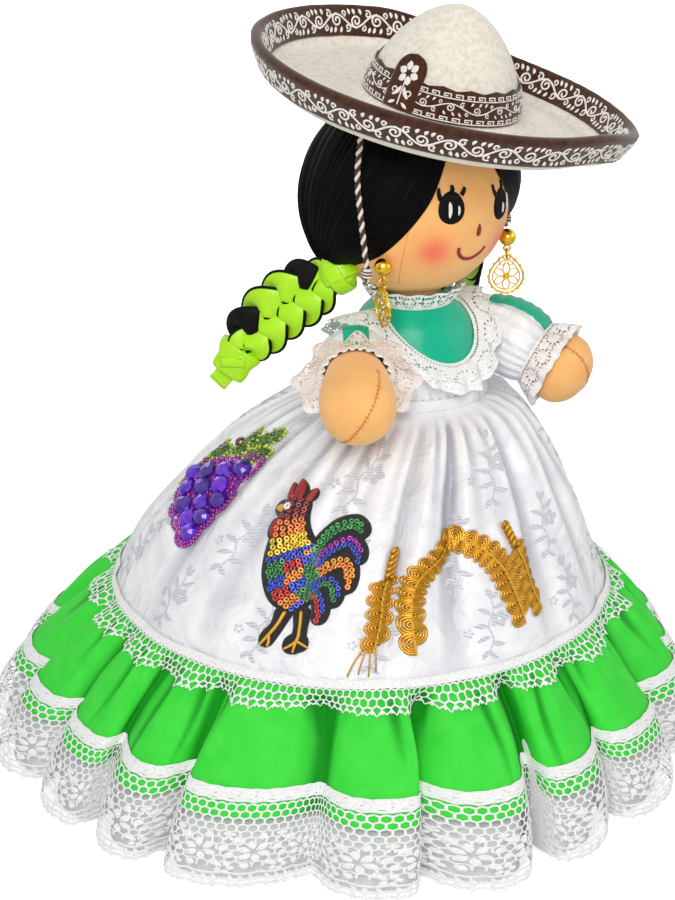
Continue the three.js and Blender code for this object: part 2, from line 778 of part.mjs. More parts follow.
// Collar frill: dips in front and behind, rides up over the shoulders
const frillSurface = (angle, t, target) => {
  const lean = Math.cos(2 * angle);
  const sewnAt = frillMid + frillDip * lean;
  const inner = torsoRadius(sewnAt) + clothThickness + sewnGap * 2 + laceThickness;
  const edge = frillEdgeMid + frillEdgeDip * lean;
  const wave = 1.4 * t * Math.cos(frillFolds * angle);
  const radius = inner + (frillRadius - inner) * t + wave;
  return target.set(radius * Math.cos(angle), radius * Math.sin(angle), sewnAt + (edge - sewnAt) * t);
};
const frill = solid(sheet(frillFolds * 2, [0, 0.5, 1], frillSurface, 0, laceThickness));
add(figure, "collar_frill", frill, white);

// Arms and sleeves, made along +Z from the shoulder joint and turned into place

const armProfile = [
  ...dome(armRootRadius, 0, 3).map(([r, h]) => [r, -h]),
  ...smooth(
    [
      [armRootRadius + 0.4, armLength * 0.22],
      [armWristRadius, armLength * 0.52],
      [handRadius, armLength * 0.78],
      [handRadius * 0.74, armLength * 0.94],
      [0, armLength],
    ],
    7,
  ),
];
const sleeveRowsTo = (length) =>
  smooth(
    [
      [sleeveRootRadius, 4],
      [sleevePuffRadius - 1, length * 0.42],
      [sleevePuffRadius, length * 0.68],
      [armWristRadius + 3.6, length],
    ],
    4,
  );
const cuffRoot = armWristRadius + 4.2;
const cuffSurfaceFrom = (start, openTo) => (angle, t, target) => {
  const fold = cuffFoldDepth * t * Math.cos(cuffFolds * angle);
  const radius = cuffRoot + (openTo - cuffRoot) * t + fold;
  return target.set(radius * Math.cos(angle), radius * Math.sin(angle), start + sewnGap + cuffLength * t);
};
const keepRows = torsoRows(waistHeight, yokeTop, sewnGap + clothThickness + swingGap);
const bodiceKeep = solid(lathe([[0, waistHeight], ...keepRows, [0, yokeTop]], torsoSides));
const frillKeep = solid(
  sheet(frillFolds * 2, [-0.03, 0.5, 1.03], frillSurface, -swingGap, laceThickness + swingGap),
);

for (const [word, side] of sides) {
  const pivot = new THREE.Vector3(side * shoulderX, shoulderY, shoulderJointHeight);
  const outward = rad(side < 0 ? rightArmOutward : leftArmOutward);
  const droop = rad(side < 0 ? rightArmDroop : leftArmDroop);
  const sleeveLength = side < 0 ? rightSleeveLength : leftSleeveLength;
  const sleeveRows = sleeveRowsTo(sleeveLength);
  const cuffSurface = cuffSurfaceFrom(sleeveLength, side < 0 ? rightCuffRadius : leftCuffRadius);
  const level = new THREE.Vector3(side * Math.sin(outward), -Math.cos(outward), 0);
  const along = level.clone().multiplyScalar(Math.cos(droop)).setZ(-Math.sin(droop));
  const axis = new THREE.Vector3(level.y, -level.x, 0);
  const down = new THREE.Vector3().crossVectors(along, axis);
  const frame = new THREE.Matrix4().makeBasis(axis, down, along).setPosition(pivot);

  const clear = (body) => {
    const [low, high] = side < 0 ? [rightArmLow, rightArmHigh] : [leftArmLow, leftArmHigh];
    const step = (high - low) / 4;
    const pastBodice = clearOf(body, bodiceKeep, pivot, axis, low, high, step);
    return clearOf(pastBodice, frillKeep, pivot, axis, low, high, step);
  };
  const arm = solid(lathe(armProfile, 10)).transform(frame.elements);
  add(figure, `${word}_arm`, clear(arm), skin);
  const sleeve = solid(band(sleeveRows, widened(sleeveRows, -clothThickness), 12)).transform(frame.elements);
  add(figure, `${word}_sleeve`, clear(sleeve), white, 0.45);
  const cuff = solid(sheet(cuffFolds * 3, [0, 1], cuffSurface, 0, laceThickness)).transform(frame.elements);
  add(figure, `${word}_cuff_lace`, clear(cuff), white);

  // A satin strip lies along the top of the sleeve
  const stripTop = widened(sleeveRows, sewnGap + laceThickness);
  const stripShell = solid(band(stripTop, widened(sleeveRows, sewnGap), 12));
  const stripCut = new THREE.BoxGeometry(stripWidth, sleeveLength * 2, sleeveLength - 8);
  stripCut.translate(0, -sleeveLength, sleeveLength / 2 + 2);
  const strip = largest(stripShell.intersect(solid(stripCut))).transform(frame.elements);
  add(figure, `${word}_sleeve_strip`, clear(strip), teal, 0.35);
}

// Skirt: a bell from the waist to the seam, off centre, with soft folds

const skirtTop = bandLow - sewnGap;
const skirtSurface = (angle, t, target) => {
  const share = Math.max(t, 0) ** skirtBell;
  const swell = Math.sin(Math.PI * Math.min(Math.max(t, 0) * 1.3 + 0.12, 1));
  const fold = skirtFoldDepth * swell * Math.cos(skirtFolds * angle);
  const radius = skirtWaistRadius + (skirtSeamRadius - skirtWaistRadius) * share + fold;
  const x = axisX + (skirtSeamX - axisX) * t;
  const y = axisY + (skirtSeamY - axisY) * t;
  const height = skirtTop + (skirtSeamHeight - skirtTop) * t;
  return target.set(x + radius * Math.cos(angle), y + radius * Math.sin(angle), height);
};
const skirtSides = skirtFolds * 3;
const skirtRows = [0, 0.05, 0.16, 0.36, 0.64, 1];
add(doll, "skirt", solid(sheet(skirtSides, skirtRows, skirtSurface, 0, clothThickness)), white, 0.4);

// Flounce and hem lace share one ruffled surface from the seam to the hem
const ruffleSurface = (angle, t, target) => {
  const share = Math.sin((Math.PI / 2) * t);
  const fold = (1 + (hemFoldDepth - 1) * t ** 0.8) * Math.cos(hemFolds * angle);
  const radius = skirtSeamRadius + (hemRadius - skirtSeamRadius) * share + fold;
  const x = skirtSeamX * (1 - t);
  const y = skirtSeamY * (1 - t);
  const height = (skirtSeamHeight - sewnGap) * (1 - t);
  return target.set(x + radius * Math.cos(angle), y + radius * Math.sin(angle), height);
};
const ruffleAt = (height) => 1 - height / (skirtSeamHeight - sewnGap);
const hemSides = hemFolds * 4;
const flounceEnd = ruffleAt(flounceHeight);
const laceStart = ruffleAt(hemLaceHeight);
const flounceRows = [0.012, laceStart * 0.5, laceStart, flounceEnd];
add(doll, "flounce", solid(sheet(hemSides, flounceRows, ruffleSurface, 0, clothThickness)), green, 0.45);
const laceRows = [laceStart, flounceEnd, 0.988];
const hemLace = sheet(hemSides, laceRows, ruffleSurface, -sewnGap - laceThickness, -sewnGap);
add(doll, "hem_lace", solid(hemLace), white);

// Seam lace lies over the join of the skirt and the flounce
const seamLaceSurface = (angle, t, target) => {
  const height = skirtSeamHeight + seamLaceDrop * (1 - 2 * t);
  const share = Math.min((skirtTop - height) / (skirtTop - skirtSeamHeight), 1);
  const below = Math.max(ruffleAt(height), 0);
  const bell = (skirtSeamRadius - skirtWaistRadius) * share ** skirtBell;
  const spread = (hemRadius - skirtSeamRadius) * Math.sin((Math.PI / 2) * below);
  const fold = 1 + (hemFoldDepth - 1) * below ** 0.8;
  const radius = skirtWaistRadius + bell + spread + fold + sewnGap * 2;
  const x = axisX + (skirtSeamX - axisX) * share - skirtSeamX * below;
  const y = axisY + (skirtSeamY - axisY) * share - skirtSeamY * below;
  return target.set(x + radius * Math.cos(angle), y + radius * Math.sin(angle), height);
};
const seamLace = sheet(seamLaceSides, [0, 0.5, 1], seamLaceSurface, -sewnGap - laceThickness, -sewnGap);
add(doll, "seam_lace", solid(seamLace), white);

// Petticoat: stands on the floor inside the skirt and carries it
const petticoatTop = skirtTop - petticoatDrop;
const petticoatWaist = torsoRadius(petticoatTop) + clothThickness + sewnGap * 2;
const petticoatSurface = (angle, t, target) => {
  const height = petticoatTop * (1 - t);
  const drop = Math.max((skirtTop - height) / (skirtTop - skirtSeamHeight), 0);
  const bell = skirtWaistRadius + (skirtSeamRadius - skirtWaistRadius) * Math.min(drop, 1) ** skirtBell;
  const low = Math.max(drop - 1, 0);
  const spread = (hemRadius - hemFoldDepth - petticoatClear - skirtSeamRadius) * low * 1.2;
  const hold = Math.min(t * 9, 1);
  const shift = Math.min(drop, 1) * hold;
  const full = bell + Math.min(spread, petticoatSpread) - skirtFoldDepth - petticoatClear;
  const radius = petticoatWaist + (full - petticoatWaist) * hold;
  const x = axisX + (skirtSeamX - axisX) * shift;
  const y = axisY + (skirtSeamY - axisY) * shift;
  return target.set(x + radius * Math.cos(angle), y + radius * Math.sin(angle), height);
};
const petticoat = sheet(petticoatSides, [0, 0.1, 0.25, 0.55, 1], petticoatSurface, 0, clothThickness);
add(doll, "petticoat", solid(petticoat), white);

// Patches: a flat outline pressed through a layer that follows the cloth of the skirt

const patchRows = skirtRows.slice(1);
const patchUnder = solid(sheet(skirtSides, patchRows, skirtSurface, -sewnGap * 2, clothThickness));
const patchOver = solid(sheet(skirtSides, patchRows, skirtSurface, -sewnGap - trimThickness, clothThickness));
const patchLayer = patchOver.subtract(patchUnder);

const pressDepth = 60;

function pressed(shape, degrees, drop, lean = 0) {
  const angle = rad(-90 - degrees);
  const here = skirtSurface(angle, drop, new THREE.Vector3());
  const up = skirtSurface(angle, drop - 0.01, new THREE.Vector3()).sub(here).normalize();
  const right = new THREE.Vector3(-Math.sin(angle), Math.cos(angle), 0);
  const out = new THREE.Vector3().crossVectors(right, up).normalize();
  right.crossVectors(up, out);
  const frame = new THREE.Matrix4().makeBasis(right, up, out).setPosition(here);
  const turned = solid(shape.translate(0, 0, -pressDepth / 2).rotateZ(rad(lean)));
  return largest(patchLayer.intersect(turned.transform(frame.elements)));
}

function outline(points, width, tall) {
  const scaled = points.map(([x, y]) => new THREE.Vector2(x * width, y * tall));
  const shape = new THREE.Shape().moveTo(scaled[0].x, scaled[0].y);
  shape.splineThru([...scaled.slice(1), scaled[0]]);
  return prism(shape, pressDepth, 2);
}

const grapes = [
  [0, -0.5], [0.17, -0.42], [0.29, -0.25], [0.36, -0.05], [0.42, 0.08], [0.5, 0.2], [0.44, 0.34],
  [0.25, 0.4], [0.1, 0.5], [-0.08, 0.44], [-0.28, 0.46], [-0.5, 0.32], [-0.42, 0.14], [-0.36, -0.04],
  [-0.29, -0.24], [-0.17, -0.42],
];
const grapePatch = pressed(outline(grapes, grapeWidth, grapeLength), grapeAngle, grapeDrop, grapeLean);
add(doll, "grape_patch", grapePatch, purple, 0.3);

const rooster = [
  [-0.5, 0.28], [-0.4, 0.35], [-0.42, 0.44], [-0.29, 0.5], [-0.15, 0.46], [-0.06, 0.35], [0.02, 0.22],
  [0.12, 0.14], [0.24, 0.21], [0.36, 0.3], [0.48, 0.25], [0.5, 0.08], [0.42, -0.06], [0.3, -0.16],
  [0.18, -0.22], [0.12, -0.33], [0.15, -0.42], [0.24, -0.49], [-0.24, -0.49], [-0.14, -0.42],
  [-0.12, -0.31], [-0.28, -0.17], [-0.4, -0.02], [-0.42, 0.12], [-0.37, 0.21],
];
const roosterPatch = pressed(outline(rooster, roosterWidth, roosterLength), roosterAngle, roosterDrop);
add(doll, "rooster_patch", roosterPatch, black, 0.6);

const archShape = new THREE.Shape();
archShape.moveTo(archWidth / 2, -archLength / 2);
archShape.lineTo(archWidth / 2, archLength / 2 - archWidth / 2);
archShape.absarc(0, archLength / 2 - archWidth / 2, archWidth / 2, 0, Math.PI);
archShape.lineTo(-archWidth / 2, -archLength / 2);
archShape.lineTo(-archWidth / 2 + gimpWidth, -archLength / 2);
archShape.lineTo(-archWidth / 2 + gimpWidth, archLength / 2 - archWidth / 2);
archShape.absarc(0, archLength / 2 - archWidth / 2, archWidth / 2 - gimpWidth, Math.PI, 0, true);
archShape.lineTo(archWidth / 2 - gimpWidth, -archLength / 2);
const arch = pressed(prism(archShape, pressDepth, 6), archAngle, archDrop);
add(doll, "gimp_arch", arch, gold, 0.35, 0.6);
const gimpStrip = (length) =>
  new THREE.BoxGeometry(gimpWidth, length, pressDepth).translate(0, 0, pressDepth / 2);
const rightStrip = pressed(gimpStrip(rightStripLength), rightStripAngle, rightStripDrop, rightStripLean);
add(doll, "right_gimp_strip", rightStrip, gold, 0.35, 0.6);
const leftStrip = pressed(gimpStrip(leftStripLength), leftStripAngle, leftStripDrop, leftStripLean);
add(doll, "left_gimp_strip", leftStrip, gold, 0.35, 0.6);

export default doll;
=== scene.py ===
import json
import math

import bmesh
import bpy
import numpy as np
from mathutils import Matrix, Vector

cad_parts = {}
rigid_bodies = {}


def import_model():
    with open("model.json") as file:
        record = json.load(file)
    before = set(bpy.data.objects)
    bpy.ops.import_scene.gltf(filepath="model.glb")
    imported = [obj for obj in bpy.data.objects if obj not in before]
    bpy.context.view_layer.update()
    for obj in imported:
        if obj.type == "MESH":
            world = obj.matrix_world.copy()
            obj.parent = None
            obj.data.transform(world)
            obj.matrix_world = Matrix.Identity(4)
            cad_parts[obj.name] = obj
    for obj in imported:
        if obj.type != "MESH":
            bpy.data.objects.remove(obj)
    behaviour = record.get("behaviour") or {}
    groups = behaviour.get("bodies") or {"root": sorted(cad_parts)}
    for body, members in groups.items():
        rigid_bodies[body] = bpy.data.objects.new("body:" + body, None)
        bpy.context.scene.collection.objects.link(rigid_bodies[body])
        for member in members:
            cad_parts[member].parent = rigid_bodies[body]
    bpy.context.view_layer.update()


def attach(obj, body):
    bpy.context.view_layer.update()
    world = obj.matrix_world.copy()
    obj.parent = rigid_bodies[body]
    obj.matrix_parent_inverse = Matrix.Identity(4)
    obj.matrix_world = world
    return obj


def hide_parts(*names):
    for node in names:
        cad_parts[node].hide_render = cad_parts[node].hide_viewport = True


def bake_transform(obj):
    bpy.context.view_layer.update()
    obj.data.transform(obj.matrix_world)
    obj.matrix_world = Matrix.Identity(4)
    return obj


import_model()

# Rag doll in a fiesta dress and a felt sombrero. Millimetres in the code, metres in the meshes.
mm = 0.001
tau = 2 * math.pi
dollAt = np.array([26.0, -22.0, 0.0])  # the doll stands off the centre of its hem
sideNames = {"right": -1, "left": 1}
scene = bpy.context.scene


def linear(colour):
    channels = [int(colour[i : i + 2], 16) / 255 for i in (1, 3, 5)]
    return [c / 12.92 if c <= 0.04045 else ((c + 0.055) / 1.055) ** 2.4 for c in channels] + [1]


def addNode(tree, kind, inputs=None, **settings):
    node = tree.nodes.new(kind)
    for key, value in settings.items():
        setattr(node, key, value)
    for key, value in (inputs or {}).items():
        if isinstance(value, bpy.types.NodeSocket):
            tree.links.new(value, node.inputs[key])
        else:
            node.inputs[key].default_value = value
    return node


def startMaterial(name, colour, roughness, sockets=None):
    material = bpy.data.materials.new(name)
    material.use_nodes = True
    shader = material.node_tree.nodes["Principled BSDF"]
    shader.inputs["Base Color"].default_value = linear(colour)
    shader.inputs["Roughness"].default_value = roughness
    for socket, value in (sockets or {}).items():
        shader.inputs[socket].default_value = value
    return material, material.node_tree, shader


def newObject(name, data):
    made = bpy.data.objects.new(name, data)
    bpy.context.collection.objects.link(made)
    return made


# Angles once round, and the flat direction of one angle
def circle(count):
    return np.linspace(0, tau, count, endpoint=False)


def heading(angle):
    return np.array([math.cos(angle), math.sin(angle)])


# A place beside the doll's own axis, on its right or left
def beside(place, sign):
    return np.array(place, float) * [sign, 1, 1]


def ringPoints(radius, angle, height):
    return np.stack([radius * np.cos(angle), radius * np.sin(angle), height + 0 * angle], -1)


# Length gone at each point of a path, and the path's values at given lengths
def pathLength(path):
    return np.concatenate([[0], np.cumsum(np.linalg.norm(np.diff(path, axis=0), axis=1))])


def valuesAt(at, length, path):
    return np.stack([np.interp(at, length, values) for values in np.asarray(path).T], -1)


# A grid of points becomes quads that face out when rows run down and columns run round
def gridPart(grid, wrap=True):
    grid = np.asarray(grid, float)
    rows, columns = grid.shape[:2]
    spans = columns if wrap else columns - 1
    r, c = np.arange(rows - 1)[:, None], np.arange(spans)[None, :]
    after = (c + 1) % columns
    quads = [r * columns + c, (r + 1) * columns + c, (r + 1) * columns + after, r * columns + after]
    steps = ((0, 0), (0, 1), (1, 1), (1, 0))
    uvs = [np.stack([(c + u) / spans + 0 * r, (r + v) / (rows - 1) + 0 * c], -1) for u, v in steps]
    return grid.reshape(-1, 3), np.stack(quads, -1).reshape(-1, 4), np.stack(uvs, -2).reshape(-1, 4, 2)


# A part is points, faces, UVs and, where it has several materials, the number of each face's material
def asPart(form):
    return gridPart(form) if isinstance(form, np.ndarray) else form


def joined(parts):
    parts = [asPart(part) for part in parts]
    starts = np.cumsum([0] + [len(part[0]) for part in parts[:-1]])
    points, uvs = ([part[k] for part in parts] for k in (0, 2))
    faces = [np.asarray(part[1]) + start for part, start in zip(parts, starts)]
    marks = [np.full(len(part[1]), part[3] if len(part) > 3 else 0) for part in parts]
    return tuple(np.concatenate(each) for each in (points, faces, uvs, marks))


# The form is a grid, a part or a list of both
def meshPiece(name, form, materials, smooth=True, weld=False):
    part = joined(form) if isinstance(form, list) else asPart(form)
    mesh = bpy.data.meshes.new(name)
    mesh.from_pydata((np.asarray(part[0]) * mm).tolist(), [], np.asarray(part[1]).tolist())
    layer = mesh.uv_layers.new(name="UVMap")
    layer.data.foreach_set("uv", np.asarray(part[2], np.float32).ravel())
    for material in materials if isinstance(materials, (list, tuple)) else [materials]:
        mesh.materials.append(material)
    if len(part) > 3:
        mesh.polygons.foreach_set("material_index", np.asarray(part[3], np.int32))
    mesh.polygons.foreach_set("use_smooth", [smooth] * len(mesh.polygons))
    if weld:  # closes poles and seams
        shape = bmesh.new()
        shape.from_mesh(mesh)
        bmesh.ops.remove_doubles(shape, verts=shape.verts, dist=1e-6)
        shape.to_mesh(mesh)
        shape.free()
    mesh.update()
    return newObject(name, mesh)


def settle(piece):
    bpy.context.view_layer.update()
    made = piece.evaluated_get(bpy.context.evaluated_depsgraph_get())
    mesh = bpy.data.meshes.new_from_object(made)
    piece.modifiers.clear()
    piece.data = mesh
    return piece


def carry(piece, body, slot, *nodes):
    if body:  # a piece given no body is parented to none
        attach(piece, body)
    if nodes:
        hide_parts(*nodes)
        piece.name = f"{nodes[0]}_soft"


# A piece in place of the solid of its name
def softPiece(node, body, slot, form, materials, **how):
    piece = meshPiece(node, form, materials, **how)
    carry(piece, body, slot, node)
    return piece


def thicken(piece, thickness):
    wall = piece.modifiers.new("wall", "SOLIDIFY")
    wall.thickness = thickness * mm
    settle(piece)


def smoothStep(low, high, value):
    t = np.clip((np.asarray(value, float) - low) / (high - low), 0, 1)
    return t * t * (3 - 2 * t)


def unit(vector):
    vector = np.asarray(vector, float)
    return vector / np.linalg.norm(vector, axis=-1, keepdims=True)


# A smooth path through a few points
def through(points, count):
    points = np.asarray(points, float)
    ends = np.concatenate([[2 * points[0] - points[1]], points, [2 * points[-1] - points[-2]]])
    at = np.linspace(0, len(points) - 1, count)
    i = np.minimum(at.astype(int), len(points) - 2)
    t = (at - i)[:, None]
    a, b, c, d = ends[i], ends[i + 1], ends[i + 2], ends[i + 3]
    return 0.5 * (2 * b + (c - a) * t + (2 * a - 5 * b + 4 * c - d) * t**2 + (3 * b - a - 3 * c + d) * t**3)


# Rings along a path: half widths across and deep, closed with a point at each end
def sweep(path, across, deep=None, sides=8, face=None, closed=False, square=1.0):
    path = np.asarray(path, float)
    count = len(path)
    deep = across if deep is None else deep
    across, deep = np.broadcast_to(across, count), np.broadcast_to(deep, count)
    if closed:
        along = unit(np.roll(path, -1, 0) - np.roll(path, 1, 0))
    else:
        along = unit(np.gradient(path, axis=0))
    if face is None:
        wide = np.zeros_like(path)
        wide[0] = unit(np.cross(along[0], [0.3, 0.2, 0.9]))
        for i in range(1, count):
            wide[i] = unit(wide[i - 1] - along[i] * np.dot(wide[i - 1], along[i]))
    else:
        wide = unit(np.cross(along, np.broadcast_to(face, path.shape)))
    out = np.cross(along, wide)
    angle = circle(sides)
    cosine, sine = (np.sign(v) * np.abs(v) ** square for v in (np.cos(angle), np.sin(angle)))
    ring = wide[:, None] * (cosine[None, :] * across[:, None])[..., None]
    ring = ring - out[:, None] * (sine[None, :] * deep[:, None])[..., None]
    grid = path[:, None] + ring
    if closed:
        return np.concatenate([grid, grid[:1]])
    first, last = (np.repeat(end[None, None], sides, 1) for end in (path[0], path[-1]))
    return np.concatenate([first, grid, last])


# Turned about an upright axis: rows of (radius, height) from the top down
def turned(rows, sides):
    rows = np.asarray(rows, float)
    return ringPoints(rows[:, :1], circle(sides), rows[:, 1:])


# Slow, repeatable unevenness from a few sines of a direction or a place
def uneven(points, size, seed):
    maker = np.random.default_rng(seed)
    total = 0
    for step in range(6):
        wave = maker.normal(size=3)
        wave *= tau / (size * (0.6 + 0.25 * step)) / np.linalg.norm(wave)
        total = total + np.sin(points @ wave + maker.uniform(0, tau)) / (1 + 0.4 * step)
    return total / 2.6


print("setup: frame loaded")

# Camera at the photograph's angle, and the studio
studio = {
    "cameraAt": (-0.6641, -0.8445, 0.5971),
    "viewAlong": (0.5680, 0.7287, -0.3825),
    "lens": 88.3,
    "keyPower": 15.8,
    "fillPower": 3.8,
    "backPower": 4,
    "worldLight": 0.41,
    "aim": (0, 0, 0.2),
    "floorColour": "#F2F2F2",
    "floorRadius": 4000,
    "floorHeight": -0.4,
}
cameraData = bpy.data.cameras.new("photoCamera")
cameraData.lens = studio["lens"]
cameraData.sensor_width = 36
cameraData.clip_start = 0.01
camera = newObject("photoCamera", cameraData)
camera.location = studio["cameraAt"]
camera.rotation_euler = Vector(studio["viewAlong"]).to_track_quat("-Z", "Y").to_euler()
scene.camera = camera

for lampName, place, size, power in (
    ("keySoftbox", (-0.9, -1.0, 1.15), 0.8, studio["keyPower"]),
    ("fillSoftbox", (1.2, -0.9, 0.8), 1.0, studio["fillPower"]),
    ("backSoftbox", (0.2, 1.3, 1.2), 0.9, studio["backPower"]),
):
    lampData = bpy.data.lights.new(lampName, "AREA")
    lampData.energy = power
    lampData.size = size
    lamp = newObject(lampName, lampData)
    lamp.location = place
    lamp.rotation_euler = (Vector(studio["aim"]) - Vector(place)).to_track_quat("-Z", "Y").to_euler()

# The world lights the doll softly and shows plain white to the camera and in gloss
world = bpy.data.worlds.new("whiteStudio")
world.use_nodes = True
scene.world = world
worldTree = world.node_tree
rays = addNode(worldTree, "ShaderNodeLightPath").outputs
seen = rays["Is Camera Ray"]
for way in ("Is Transmission Ray", "Is Glossy Ray"):
    seen = addNode(worldTree, "ShaderNodeMath", {0: rays[way], 1: seen}, operation="MAXIMUM").outputs[0]
shown = {"Value": seen, "To Min": studio["worldLight"], "To Max": 1.0}
strength = addNode(worldTree, "ShaderNodeMapRange", shown)
backdrop = worldTree.nodes["Background"]
backdrop.inputs["Color"].default_value = (1, 1, 1, 1)
worldTree.links.new(strength.outputs["Result"], backdrop.inputs["Strength"])

# Matt paper floor: mostly white to the camera, and it keeps the doll's shadow
paper, paperTree, paperShader = startMaterial("studioPaper", studio["floorColour"], 0.9)
paperRays = addNode(paperTree, "ShaderNodeLightPath").outputs
paperPlace = addNode(paperTree, "ShaderNodeTexCoord").outputs["Object"]
paperFar = addNode(paperTree, "ShaderNodeVectorMath", {0: paperPlace}, operation="LENGTH").outputs["Value"]
glowRange = {"Value": paperFar, "From Min": 0.35, "From Max": 1.2, "To Min": 0.5, "To Max": 1.0}
paperGlow = addNode(paperTree, "ShaderNodeMapRange", glowRange).outputs["Result"]
glowSeen = {0: paperGlow, 1: paperRays["Is Camera Ray"]}
paperSeen = addNode(paperTree, "ShaderNodeMath", glowSeen, operation="MULTIPLY")
paperShader.inputs["Emission Color"].default_value = (1, 1, 1, 1)
paperTree.links.new(paperSeen.outputs[0], paperShader.inputs["Emission Strength"])
floorGrid = turned([(3.0, studio["floorHeight"]), (studio["floorRadius"], studio["floorHeight"])], 64)
floor = meshPiece("studioFloor", floorGrid, paper, smooth=False)
scene.view_settings.view_transform = "Standard"
print("studio: camera, lamps and floor")
# Materials, each from what the real one is


# Fuzz at the edges of a cloth, how far it spreads, and the gloss of its face
def nap(sheen, spread=0.5, gloss=0.5):
    return {"Sheen Weight": sheen, "Sheen Roughness": spread, "Specular IOR Level": gloss}


def giveRelief(tree, shader, height, strength, depth):
    bump = addNode(tree, "ShaderNodeBump", {"Height": height, "Strength": strength, "Distance": depth * mm})
    tree.links.new(bump.outputs["Normal"], shader.inputs["Normal"])


def giveTones(tree, shader, share, tones, mask=None):
    ramp = addNode(tree, "ShaderNodeValToRGB", {"Fac": share})
    for stop, (colour, position) in zip(ramp.color_ramp.elements, tones):
        stop.color = linear(colour)
        stop.position = position
    colour = ramp.outputs["Color"]
    if mask:
        amount = addNode(tree, "ShaderNodeAttribute", attribute_name=mask[0]).outputs["Fac"]
        blend = {"Factor": amount, 6: colour, 7: linear(mask[1])}
        colour = addNode(tree, "ShaderNodeMix", blend, data_type="RGBA").outputs[2]
    tree.links.new(colour, shader.inputs["Base Color"])


# A grain of some millimetres gives the two tones and the relief. "mask" names an attribute and the colour
# that it brings in. "fine" is a second grain for the threads: size, detail and share of the relief.
def clothMaterial(name, colour, roughness, sockets, grain, tones=None, mask=None, fine=None, relief=None):
    material, tree, shader = startMaterial(name, colour, roughness, sockets)
    place = addNode(tree, "ShaderNodeTexCoord").outputs["Object"]
    size, noise = grain
    noise = {"Vector": place, "Scale": 1 / (size * mm), **noise}
    height = addNode(tree, "ShaderNodeTexNoise", noise).outputs["Fac"]
    if tones:
        giveTones(tree, shader, height, tones, mask)
    if fine:
        noise = {"Vector": place, "Scale": 1 / (fine[0] * mm), "Detail": fine[1]}
        thread = addNode(tree, "ShaderNodeTexNoise", noise).outputs["Fac"]
        mixed = {0: thread, 1: fine[2], 2: height}
        height = thread
        if fine[2] < 1:
            height = addNode(tree, "ShaderNodeMath", mixed, operation="MULTIPLY_ADD").outputs[0]
    if relief:
        giveRelief(tree, shader, height, *relief)
    return material


# Stretched cotton over stuffing: a fine plain weave, dull, with a soft bloom at the edges
skinCloth = clothMaterial(
    "peachCotton", "#F3B469", 0.82, nap(0.25, 0.5, 0.3), (14, {"Detail": 3}),
    tones=(("#F3B066", 0.2), ("#FAC27A", 0.8)), mask=("blush", "#F0614F"),
)
tree = skinCloth.node_tree
place = addNode(tree, "ShaderNodeTexCoord").outputs["Object"]
# Threads of about 0.35 mm are drawn at 0.7 mm so that the weave shows
threads = {"Vector": place, "Scale": 0.314 / (0.7 * mm)}
warp, weft = (
    addNode(tree, "ShaderNodeTexWave", threads, bands_direction=way).outputs["Fac"] for way in "XZ"
)
weave = addNode(tree, "ShaderNodeMath", {0: warp, 1: weft}, operation="ADD").outputs[0]
giveRelief(tree, tree.nodes["Principled BSDF"], weave, 0.16, 0.1)

# Polyester embroidery floss laid side by side: black, with a narrow silky streak along each strand
hairFloss, tree, shader = startMaterial("blackFloss", "#050506", 0.5, {"Specular IOR Level": 0.05})
strandUv = addNode(tree, "ShaderNodeUVMap", uv_map="UVMap").outputs["UV"]
stretched = addNode(tree, "ShaderNodeMapping", {"Vector": strandUv, "Scale": (170.0, 2.2, 1.0)}).outputs[0]
streaks = {"Vector": stretched, "Scale": 1.0, "Detail": 3.0}
strands = addNode(tree, "ShaderNodeTexNoise", streaks).outputs["Fac"]
giveTones(tree, shader, strands, (("#030303", 0.35), ("#0C0C0E", 0.75)))
giveRelief(tree, shader, strands, 0.6, 0.5)


# Satin ribbon and satin lining: fine floats drawn along the cloth, a long soft highlight
def satinMaterial(name, colour, shade, roughness, sheen, gloss=0.5):
    return clothMaterial(
        name, colour, roughness, nap(sheen, 0.3, gloss), (9, {"Detail": 4}),
        tones=((shade, 0), (colour, 1)), fine=(0.8, 1, 0.22), relief=(0.35, 0.8),
    )


limeSatin = satinMaterial("limeSatinRibbon", "#B8F010", "#A2E206", 0.38, 0.25)
tealSatin = satinMaterial("tealSatin", "#08BE95", "#009C78", 0.34, 0.0, 0.28)
blackSatin = satinMaterial("blackYarnRibbon", "#0C0C0D", "#040405", 0.6, 0.0, 0.12)

# Polyester dress cotton: a saturated plain weave, nearly dull, with painted shade where the "crease"
# attribute darkens its folds
greenCloth = clothMaterial(
    "greenPoplin", "#3EDC40", 0.72, nap(0.04, 0.4, 0.2), (11, {"Detail": 5}),
    tones=(
        ("#36D63A", 0.25), ("#48E048", 0.75)
    ), mask=("crease", "#008A12"), fine=(0.7, 1, 1), relief=(0.18, 0.2),
)

# White satin jacquard: glossy ground with faint warp streaks and soft creases, and painted grey shade where
# the "crease" attribute marks the fold valleys
brocade = clothMaterial(
    "whiteSatinJacquard", "#F4F4F7", 0.3, nap(0.12, 0.3, 0.42), (21, {"Detail": 3, "Distortion": 0.8}),
    tones=(
        ("#E3E3E8", 0.3), ("#F6F6F8", 0.62)
    ), mask=("crease", "#ADADB6"), fine=(1, 2, 0.05), relief=(0.7, 5),
)

# The jacquard's sprays are woven the other way, so they turn grey beside the shiny ground
sprayFloat, tree, shader = startMaterial("jacquardFloat", "#C9C9D0", 0.5, nap(0.2, 0.5, 0.4))
place = addNode(tree, "ShaderNodeTexCoord").outputs["Object"]
hatchLook = {"Vector": place, "Scale": 0.314 / (1.4 * mm), "Distortion": 1.2}
hatch = addNode(tree, "ShaderNodeTexWave", hatchLook, bands_direction="DIAGONAL").outputs["Fac"]
giveTones(tree, shader, hatch, (("#BDBDC6", 0), ("#D9D9DF", 1)))

